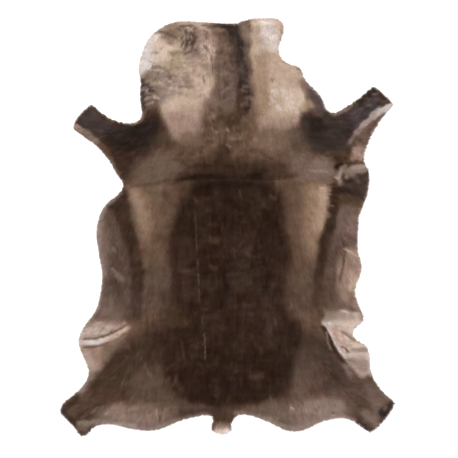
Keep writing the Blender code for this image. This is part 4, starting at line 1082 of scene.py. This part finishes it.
# %% [markdown]
# ## The skin
#
# The skin itself is taken as two millimetres of tanned leather, the usual thickness. It is cut just
# inside the smoothed rim as one flat sheet, because it lies on the floor and hardly shows but at
# the cut edges and from below. No picture shows its underside, so that is plain suede.

# %% Cut the skin
SKIN_STEP = 0.004
SKIN_INSET = 0.0015


def skin_sheet():
    """A flat closed sheet of the skin's thickness, with the hide's outline."""
    outline = even_loop(rim - rim_out * SKIN_INSET, SKIN_STEP)
    shape = bmesh.new()
    verts = [shape.verts.new((x, y, SKIN_THICKNESS)) for x, y in outline]
    face = shape.faces.new(verts)
    face.normal_update()
    if face.normal.z < 0:
        face.normal_flip()
    lower = bmesh.ops.extrude_face_region(shape, geom=[face])["geom"]
    for vertex in (item for item in lower if isinstance(item, bmesh.types.BMVert)):
        vertex.co.z = 0.0
    bmesh.ops.recalc_face_normals(shape, faces=shape.faces)
    bmesh.ops.triangulate(shape, faces=shape.faces)
    mesh = bpy.data.meshes.new("skin")
    shape.to_mesh(mesh)
    shape.free()
    return mesh


skin = bpy.data.objects.new("skin", skin_sheet())
bpy.context.scene.collection.objects.link(skin)
print("skin:", len(skin.data.polygons), "faces")

# %% [markdown]
# ## Materials
#
# Reindeer hair is hollow, so it is dull with a faint silky sheen along its length. Each lock is
# painted darker at its root, as painted shade where light doesn't reach, and lighter towards its tip,
# where less of that shade falls. The locks differ slightly in tone, which is what makes fur look like
# fur. The markings reach the material as a colour stored on the vertices, so the nodes only add what
# varies on top of it.

# %% Helpers for node trees


def new_material(name):
    """An empty material's node tree and its shader."""
    material = bpy.data.materials.new(name)
    material.use_nodes = True
    tree = material.node_tree
    return material, tree, tree.nodes["Principled BSDF"]


def add_node(tree, kind, settings=(), **inputs):
    """Add a node, with its settings and its input values or links given by name."""
    node = tree.nodes.new(kind)
    for name, value in dict(settings).items():
        setattr(node, name, value)
    for name, value in inputs.items():
        socket = node.inputs[name]
        if isinstance(value, bpy.types.NodeSocket):
            tree.links.new(value, socket)
        else:
            socket.default_value = value
    return node


def stored(tree, name, output):
    """The value of an attribute that is stored on the mesh."""
    return add_node(tree, "ShaderNodeAttribute", {"attribute_name": name}).outputs[output]


def ranged(tree, value, low, high):
    """A value from 0 to 1 made to run from low to high."""
    node = add_node(tree, "ShaderNodeMapRange", Value=value)
    node.inputs["To Min"].default_value = low
    node.inputs["To Max"].default_value = high
    return node.outputs["Result"]


def grain(tree, scale, detail=2.0):
    """Fine noise on the object's own coordinates, from 0 to 1."""
    place = tree.nodes.new("ShaderNodeTexCoord").outputs["Object"]
    noise = add_node(tree, "ShaderNodeTexNoise", Vector=place, Scale=scale, Detail=detail)
    return noise.outputs["Fac"]


# %% Guard hair
ROOT_SHADE = (0.46, 0.46, 0.47, 1)
KNEE_SHADE = (0.74, 0.74, 0.77, 1)
TIP_SHADE = (0.85, 0.85, 0.88, 1)
KNEE_PLACE = 0.45         # place along the lock up to which its root is in shade
LOCK_TONES = (0.86, 1.14)
WARMTH_SCALE = 60
WARMTHS = (0.86, 1.10)
SILK_SCALE = 900
HAIR_ROUGHNESS = (0.52, 0.74)
HAIR_SPECULAR = 0.06
HAIR_SHEEN_TINT = (1.0, 0.8, 0.62, 1)


def hair_material():
    """Straight dull hair: stored colour, with painted shade from root to tip, and a tone for each lock."""
    material, tree, shader = new_material("guard_hair")
    along = stored(tree, "along", "Fac")
    # the ramp is painted shade along each lock: darkest at the root, lighter towards the tip
    ramp = add_node(tree, "ShaderNodeValToRGB", Fac=along)
    ramp.color_ramp.elements[0].color = ROOT_SHADE
    ramp.color_ramp.elements[1].color = TIP_SHADE
    knee = ramp.color_ramp.elements.new(KNEE_PLACE)
    knee.color = KNEE_SHADE
    shaded = add_node(tree, "ShaderNodeMix", {"data_type": "RGBA", "blend_type": "MULTIPLY"})
    shaded.inputs["Factor"].default_value = 1.0
    tree.links.new(stored(tree, "coat", "Color"), shaded.inputs[6])
    tree.links.new(ramp.outputs["Color"], shaded.inputs[7])
    tone = ranged(tree, stored(tree, "tone", "Fac"), *LOCK_TONES)
    warmth = ranged(tree, grain(tree, WARMTH_SCALE), *WARMTHS)
    toned = add_node(
        tree, "ShaderNodeHueSaturation", Value=tone, Saturation=warmth, Color=shaded.outputs[2])
    tree.links.new(toned.outputs["Color"], shader.inputs["Base Color"])
    silk = ranged(tree, grain(tree, SILK_SCALE), *HAIR_ROUGHNESS)
    tree.links.new(silk, shader.inputs["Roughness"])
    shader.inputs["Specular IOR Level"].default_value = HAIR_SPECULAR
    shader.inputs["Specular Tint"].default_value = HAIR_SHEEN_TINT
    return material


guard_hair = hair_material()


# %% Wool
CLOUD_SCALE = 140
CLOUD_DETAIL = 4.0
CLOUDS = (0.7, 1.1)
FELT_SCALE = 700
FELT_DETAIL = 5.0
FELT_STRENGTH = 0.6
FELT_DEPTH = 0.001
WOOL_ROUGHNESS = 0.9
WOOL_SPECULAR = 0.15


def wool_material():
    """Matted wool between the hairs: stored colour, clouded, with a felted surface."""
    material, tree, shader = new_material("wool")
    cloud = ranged(tree, grain(tree, CLOUD_SCALE, CLOUD_DETAIL), *CLOUDS)
    felt = add_node(
        tree, "ShaderNodeHueSaturation", Value=cloud, Color=stored(tree, "coat", "Color"))
    tree.links.new(felt.outputs["Color"], shader.inputs["Base Color"])
    bump = add_node(tree, "ShaderNodeBump", Height=grain(tree, FELT_SCALE, FELT_DETAIL))
    bump.inputs["Strength"].default_value = FELT_STRENGTH
    bump.inputs["Distance"].default_value = FELT_DEPTH
    tree.links.new(bump.outputs["Normal"], shader.inputs["Normal"])
    shader.inputs["Roughness"].default_value = WOOL_ROUGHNESS
    shader.inputs["Specular IOR Level"].default_value = WOOL_SPECULAR
    return material


# %% Suede
SUEDE_SCALE = 9
SUEDE_DARK = (0.50, 0.38, 0.27, 1)
SUEDE_PALE = (0.70, 0.60, 0.48, 1)
SUEDE_SPREAD = (0.3, 0.7)     # places of the two on the ramp
FIBRE_SCALE = 420
FIBRES = (0.85, 1.1)
NAP_SCALE = 900
NAP_STRENGTH = 0.4
NAP_DEPTH = 0.0006
SUEDE_ROUGHNESS = 0.92
SUEDE_SHEEN = 0.35
SUEDE_SHEEN_ROUGHNESS = 0.6
SUEDE_SPECULAR = 0.2
SUEDE_DETAIL = 6.0
NAP_DETAIL = 8.0


def suede_material():
    """Tanned flesh side: clouded cream with fine fibres and a velvety nap."""
    material, tree, shader = new_material("suede")
    ramp = add_node(tree, "ShaderNodeValToRGB", Fac=grain(tree, SUEDE_SCALE, SUEDE_DETAIL))
    shades = zip(ramp.color_ramp.elements, SUEDE_SPREAD, (SUEDE_DARK, SUEDE_PALE))
    for element, place, shade in shades:
        element.position = place
        element.color = shade
    fibre = ranged(tree, grain(tree, FIBRE_SCALE, SUEDE_DETAIL), *FIBRES)
    toned = add_node(tree, "ShaderNodeHueSaturation", Value=fibre, Color=ramp.outputs["Color"])
    tree.links.new(toned.outputs["Color"], shader.inputs["Base Color"])
    bump = add_node(tree, "ShaderNodeBump", Height=grain(tree, NAP_SCALE, NAP_DETAIL))
    bump.inputs["Strength"].default_value = NAP_STRENGTH
    bump.inputs["Distance"].default_value = NAP_DEPTH
    tree.links.new(bump.outputs["Normal"], shader.inputs["Normal"])
    shader.inputs["Roughness"].default_value = SUEDE_ROUGHNESS
    shader.inputs["Sheen Weight"].default_value = SUEDE_SHEEN
    shader.inputs["Sheen Roughness"].default_value = SUEDE_SHEEN_ROUGHNESS
    shader.inputs["Specular IOR Level"].default_value = SUEDE_SPECULAR
    return material


wool.data.materials.append(wool_material())
skin.data.materials.append(suede_material())

# %% [markdown]
# ## The guard hair
#
# What repeats nearly two hundred thousand times is made once. A lock is a slim closed blade of
# four faces: a root sunk in the wool, a ridge that rises to the tip, and two corners where it is
# widest. A Geometry Nodes tree scatters points evenly over the wool, turns each to the stored lay
# of the hair with a little random stray, and places a lock there. The hide is worked in parts, so
# that no part grows too heavy.

# %% One lock
LOCK_WAIST = 0.5          # place along the lock where it is widest
LOCK_ROOT_LIFT = -0.6     # heights over the wool, in lock thicknesses
LOCK_WAIST_LIFT = 0.2
LOCK_TIP_LIFT = 2.2


def lock_mesh():
    """A blade one unit long, wide and thick, that runs along +Y with a ridge on its upper side."""
    shape = bmesh.new()
    root = shape.verts.new((0, 0, LOCK_ROOT_LIFT))
    left = shape.verts.new((-0.5, LOCK_WAIST, LOCK_WAIST_LIFT))
    right = shape.verts.new((0.5, LOCK_WAIST, LOCK_WAIST_LIFT))
    tip = shape.verts.new((0, 1, LOCK_TIP_LIFT))
    for corners in ((root, tip, left), (root, right, tip), (root, left, right), (tip, right, left)):
        shape.faces.new(corners)
    bmesh.ops.recalc_face_normals(shape, faces=shape.faces)
    mesh = bpy.data.meshes.new("lock")
    shape.to_mesh(mesh)
    shape.free()
    along = [vertex.co.y for vertex in mesh.vertices]
    mesh.attributes.new("along", "FLOAT", "POINT").data.foreach_set("value", along)
    return mesh


lock = bpy.data.objects.new("lock", lock_mesh())
bpy.context.scene.collection.objects.link(lock)
LOCK_VERTICES = len(lock.data.vertices)
LOCK_FACES = len(lock.data.polygons)
print("one lock:", LOCK_VERTICES, "vertices,", LOCK_FACES, "faces")

# %% Parts of the hide
PARTS = ("neck", "shoulders", "back", "flanks", "rump")
NECK_EDGE = 0.325
WITHERS_EDGE = 0.115
RUMP_EDGE = -0.37
BACK_HALF_WIDTH = 0.205
NECK_MIDDLE = 0.01
NECK_HALF_WIDTH = 0.3

centres = np.array([polygon.center for polygon in hair_ground.polygons])
areas = np.array([polygon.area for polygon in hair_ground.polygons])
beside_back = np.abs(centres[:, 0]) > BACK_HALF_WIDTH
part_of = np.where(beside_back, PARTS.index("flanks"), PARTS.index("back"))
part_of[centres[:, 1] > WITHERS_EDGE] = PARTS.index("shoulders")
beside_neck = np.abs(centres[:, 0] - NECK_MIDDLE) >= NECK_HALF_WIDTH
on_neck = (centres[:, 1] > NECK_EDGE) & ~beside_neck
part_of[on_neck] = PARTS.index("neck")
part_of[centres[:, 1] < RUMP_EDGE] = PARTS.index("rump")
hair_ground.attributes.new("part", "INT", "FACE").data.foreach_set("value", part_of.astype(np.int32))
for number, name in enumerate(PARTS):
    print("area of the", name, "in m2:", round(areas[part_of == number].sum(), 3))

# %% The tree that grows the hair
DENSITY_LIMIT = 4000000   # locks on a square metre before the spacing thins them out
LENGTH_SPREAD = (0.7, 1.15)
WIDTH_SPREAD = (0.7, 1.3)
JITTER_SEED = 1
LENGTH_SEED = 2
WIDTH_SEED = 3
TONE_SEED = 4


def link(tree, start, end):
    """Join an output to an input."""
    tree.links.new(start, end)


def named_value(tree, name, kind):
    """The output of a node that reads an attribute of the given kind."""
    node = add_node(tree, "GeometryNodeInputNamedAttribute", {"data_type": kind}, Name=name)
    return next(socket for socket in node.outputs if socket.enabled and socket.name == "Attribute")


def random_value(tree, kind, low, high, seed):
    """The output of a random node between two values."""
    node = tree.nodes.new("FunctionNodeRandomValue")
    node.data_type = kind
    usable = [socket for socket in node.inputs if socket.enabled]
    for socket, value in zip(usable, (low, high)):
        if isinstance(value, bpy.types.NodeSocket):
            link(tree, value, socket)
        else:
            socket.default_value = value
    node.inputs["Seed"].default_value = seed
    return next(socket for socket in node.outputs if socket.enabled)


def vector_sum(tree, first, second):
    """The sum of two vectors."""
    node = tree.nodes.new("ShaderNodeVectorMath")
    link(tree, first, node.inputs[0])
    link(tree, second, node.inputs[1])
    return node.outputs[0]


def product(tree, first, second):
    """Two numbers multiplied."""
    node = tree.nodes.new("ShaderNodeMath")
    node.operation = "MULTIPLY"
    link(tree, first, node.inputs[0])
    link(tree, second, node.inputs[1])
    return node.outputs[0]


def hair_tree():
    """Scatter, turn and place the locks of one part, and store a random tone on each."""
    tree = bpy.data.node_groups.new("guard_hair", "GeometryNodeTree")
    sockets = tree.interface
    sockets.new_socket("Geometry", in_out="INPUT", socket_type="NodeSocketGeometry")
    sockets.new_socket("Geometry", in_out="OUTPUT", socket_type="NodeSocketGeometry")
    for name, kind in (
        ("Part", "Int"), ("Spacing", "Float"), ("Width", "Float"), ("Thickness", "Float"),
        ("Stray", "Float"), ("Lift", "Float"), ("Lock", "Object"), ("Material", "Material"),
    ):
        sockets.new_socket(name, in_out="INPUT", socket_type="NodeSocket" + kind)
    given = tree.nodes.new("NodeGroupInput").outputs
    result = tree.nodes.new("NodeGroupOutput")

    in_part = tree.nodes.new("FunctionNodeCompare")
    in_part.data_type = "INT"
    in_part.operation = "EQUAL"
    part_inputs = [socket for socket in in_part.inputs if socket.enabled]
    link(tree, named_value(tree, "part", "INT"), part_inputs[0])
    link(tree, given["Part"], part_inputs[1])
    cut = add_node(
        tree, "GeometryNodeSeparateGeometry", {"domain": "FACE"},
        Geometry=given["Geometry"], Selection=in_part.outputs[0])

    scatter = add_node(
        tree, "GeometryNodeDistributePointsOnFaces", {"distribute_method": "POISSON"},
        Mesh=cut.outputs["Selection"])
    link(tree, given["Spacing"], scatter.inputs["Distance Min"])
    scatter.inputs["Density Max"].default_value = DENSITY_LIMIT
    link(tree, given["Part"], scatter.inputs["Seed"])

    stray = add_node(tree, "ShaderNodeCombineXYZ", X=given["Stray"], Y=given["Stray"])
    low = add_node(tree, "ShaderNodeVectorMath", {"operation": "SCALE"})
    low.inputs["Scale"].default_value = -1.0
    link(tree, stray.outputs[0], low.inputs[0])
    high = add_node(
        tree, "ShaderNodeCombineXYZ", X=given["Stray"], Y=given["Stray"], Z=given["Lift"])
    jitter = random_value(
        tree, "FLOAT_VECTOR", low.outputs[0], high.outputs[0], JITTER_SEED)
    direction = vector_sum(tree, named_value(tree, "flow", "FLOAT_VECTOR"), jitter)
    turn = add_node(
        tree, "FunctionNodeAxesToRotation", {"primary_axis": "Y", "secondary_axis": "Z"})
    link(tree, direction, turn.inputs["Primary Axis"])
    link(tree, scatter.outputs["Normal"], turn.inputs["Secondary Axis"])

    uneven_length = random_value(tree, "FLOAT", *LENGTH_SPREAD, LENGTH_SEED)
    uneven_width = random_value(tree, "FLOAT", *WIDTH_SPREAD, WIDTH_SEED)
    size = tree.nodes.new("ShaderNodeCombineXYZ")
    link(tree, product(tree, given["Width"], uneven_width), size.inputs["X"])
    stored_length = named_value(tree, "lock_length", "FLOAT")
    link(tree, product(tree, stored_length, uneven_length), size.inputs["Y"])
    link(tree, product(tree, given["Thickness"], uneven_width), size.inputs["Z"])

    shape = add_node(tree, "GeometryNodeObjectInfo")
    link(tree, given["Lock"], shape.inputs["Object"])
    grow = add_node(
        tree, "GeometryNodeInstanceOnPoints", Points=scatter.outputs["Points"],
        Instance=shape.outputs["Geometry"], Rotation=turn.outputs[0], Scale=size.outputs[0])
    tone = add_node(
        tree, "GeometryNodeStoreNamedAttribute", {"data_type": "FLOAT", "domain": "INSTANCE"},
        Geometry=grow.outputs["Instances"], Name="tone")
    value_socket = [socket for socket in tone.inputs if socket.enabled and socket.name == "Value"][0]
    link(tree, random_value(tree, "FLOAT", 0.0, 1.0, TONE_SEED), value_socket)
    real = add_node(tree, "GeometryNodeRealizeInstances", Geometry=tone.outputs["Geometry"])
    dyed = add_node(
        tree, "GeometryNodeSetMaterial", Geometry=real.outputs["Geometry"], Material=given["Material"])
    link(tree, dyed.outputs["Geometry"], result.inputs["Geometry"])
    return tree


grow_hair = hair_tree()
print("hair tree:", len(grow_hair.nodes), "nodes")

# %% Grow each part
LOCK_SPACING = 0.0017
LOCK_WIDTH = 0.0016
LOCK_THICKNESS = 0.0010
LOCK_STRAY = 0.12
LOCK_LIFT = 0.07
LOWER_SHARE = 0.45        # places along a lock where its lower and its upper half take their colour
UPPER_SHARE = 0.9
COLOUR_STRAY = 0.0015     # how far a lock's colour may come from beside it
STREAK_SIZES = (0.009, 0.004)
STREAKS = (9.0, 11.0)     # how much lighter or darker a tuft is, in steps of 255
STREAK_STEPS = np.linspace(-0.012, 0.012, 7)
RIM_THIN = 0.009          # width of the edge where the hair thins and pales
RIM_PALE = 0.3
LOWEST_HAIR = 0.0004
STREAK_SEED = 40
LOCK_COLOUR_SEED = 50
LOCK_ON_MAP = ((0.5, 0.1), (0.1, 0.5), (0.9, 0.5), (0.5, 0.95))     # a lock's corners in its square


def input_names(tree):
    """The identifier of each of a tree's inputs, by its name."""
    return {
        item.name: item.identifier
        for item in tree.interface.items_tree if item.in_out == "INPUT"
    }


def plain_mesh(holder, name):
    """The evaluated mesh of an object, as a mesh of its own."""
    evaluated = holder.evaluated_get(bpy.context.evaluated_depsgraph_get())
    mesh = bpy.data.meshes.new_from_object(evaluated)
    mesh.name = name
    return mesh


def lay_out_map(mesh):
    """A map with one small square for each lock, for baking its colour."""
    locks = len(mesh.vertices) // LOCK_VERTICES
    squares = math.ceil(math.sqrt(locks))
    owner = np.arange(len(mesh.vertices)) // LOCK_VERTICES
    corner = np.stack([owner % squares, owner // squares], axis=1).astype(float)
    places = (corner + np.tile(np.array(LOCK_ON_MAP), (locks, 1))) / squares
    vertex_of = np.zeros(len(mesh.loops), np.int32)
    mesh.loops.foreach_get("vertex_index", vertex_of)
    layer = mesh.uv_layers.new(name="OFBake")
    layer.uv.foreach_set("vector", places[vertex_of].astype(np.float32).ravel())


def colour_hair(mesh, seed):
    """Keep the locks off the floor, and store the markings on them, each from close by."""
    places = np.zeros(len(mesh.vertices) * 3, np.float32)
    mesh.vertices.foreach_get("co", places)
    places[2::3] = np.maximum(places[2::3], LOWEST_HAIR)
    mesh.vertices.foreach_set("co", places)
    plan = places.reshape(-1, LOCK_VERTICES, 3)[:, :, :2].astype(float)
    root, tip = plan[:, 0], plan[:, -1]
    along = tip - root
    start = root + np.random.default_rng(seed).normal(0, COLOUR_STRAY, root.shape)
    lower = coat_colour(start + LOWER_SHARE * along)
    upper = coat_colour(start + UPPER_SHARE * along)
    colour = np.stack([lower, *[(lower + upper) / 2] * (LOCK_VERTICES - 2), upper], axis=1)
    middle = start + along / 2
    way = along / np.linalg.norm(along, axis=1)[:, None]
    for number, (size, streak) in enumerate(zip(STREAK_SIZES, STREAKS)):
        tufts = [soft_noise(middle + step * way, size, STREAK_SEED + number) for step in STREAK_STEPS]
        colour += streak * np.mean(tufts, axis=0)[:, None, None]
    pale = RIM_PALE * smooth_step(1 - rim_distance(middle)[0] / RIM_THIN)[:, None, None]
    colour += pale * (np.array(COLOURS["grey_cream"]) - colour)
    set_colour(mesh, colour.reshape(-1, 3))


def grow_part(number, name):
    """The guard hair of one part, as one object of plain mesh."""
    holder = bpy.data.objects.new("holder", hair_ground)
    bpy.context.scene.collection.objects.link(holder)
    modifier = holder.modifiers.new("hair", "NODES")
    modifier.node_group = grow_hair
    names = input_names(grow_hair)
    for key, value in (
        ("Part", number), ("Spacing", LOCK_SPACING), ("Width", LOCK_WIDTH),
        ("Thickness", LOCK_THICKNESS), ("Stray", LOCK_STRAY), ("Lift", LOCK_LIFT),
        ("Lock", lock), ("Material", guard_hair),
    ):
        modifier[names[key]] = value
    mesh = plain_mesh(holder, "hair_" + name)
    bpy.data.objects.remove(holder)
    lay_out_map(mesh)
    colour_hair(mesh, LOCK_COLOUR_SEED + number)
    piece = bpy.data.objects.new("hair_" + name, mesh)
    bpy.context.scene.collection.objects.link(piece)
    print(piece.name + ":", len(mesh.vertices) // LOCK_VERTICES, "locks,", len(mesh.polygons), "faces")
    return piece


hair = [grow_part(number, name) for number, name in enumerate(PARTS)]
bpy.data.objects.remove(lock)
faces = sum(len(piece.data.polygons) for piece in hair)
print("guard hair in all:", faces, "triangles")

# %% [markdown]
# ## Floor and light
#
# The hide lies on a plain pale floor in soft light from two large overhead lamps, the stronger one
# at the upper left, so that the folds throw soft shade. A pale world fills the shadows.

# %% Floor
FLOOR_HALF = 6.0
FLOOR_DROP = -0.0005
FLOOR_COLOUR = (0.93, 0.93, 0.93, 1)
FLOOR_ROUGHNESS = 0.9
FLOOR_SPECULAR = 0.1

bpy.ops.mesh.primitive_plane_add(size=2 * FLOOR_HALF, location=(0, 0, FLOOR_DROP))
floor = bpy.context.object
floor.name = "floor"
floor_material, floor_tree, floor_shader = new_material("floor")
floor_shader.inputs["Base Color"].default_value = FLOOR_COLOUR
floor_shader.inputs["Roughness"].default_value = FLOOR_ROUGHNESS
floor_shader.inputs["Specular IOR Level"].default_value = FLOOR_SPECULAR
floor.data.materials.append(floor_material)

# %% Lamps and world
Lamp = namedtuple("Lamp", "name place size power")
LAMPS = (
    Lamp("key", (-1.6, 1.4, 2.6), 2.0, 94),
    Lamp("fill", (1.8, -0.8, 2.8), 2.6, 44),
)
WORLD_STRENGTH = 1.08

for lamp in LAMPS:
    data = bpy.data.lights.new(lamp.name, "AREA")
    data.size = lamp.size
    data.energy = lamp.power
    light = bpy.data.objects.new(lamp.name, data)
    light.location = lamp.place
    light.rotation_euler = (-Vector(lamp.place)).to_track_quat("-Z", "Y").to_euler()
    bpy.context.scene.collection.objects.link(light)

world = bpy.data.worlds.new("world")
world.use_nodes = True
background = world.node_tree.nodes["Background"]
background.inputs["Color"].default_value = (1, 1, 1, 1)
background.inputs["Strength"].default_value = WORLD_STRENGTH
bpy.context.scene.world = world
bpy.context.scene.view_settings.view_transform = "Standard"
print("lamps:", len(LAMPS))

# %% [markdown]
# ## Hand over to the frame
#
# Every layer rides on the hide's one body. The layers that grow from the skin go with it. The wool
# stands in for the plain solid.

for piece in [skin, wool, *hair]:
    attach(piece, BODY)
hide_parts(HIDE_NODE)
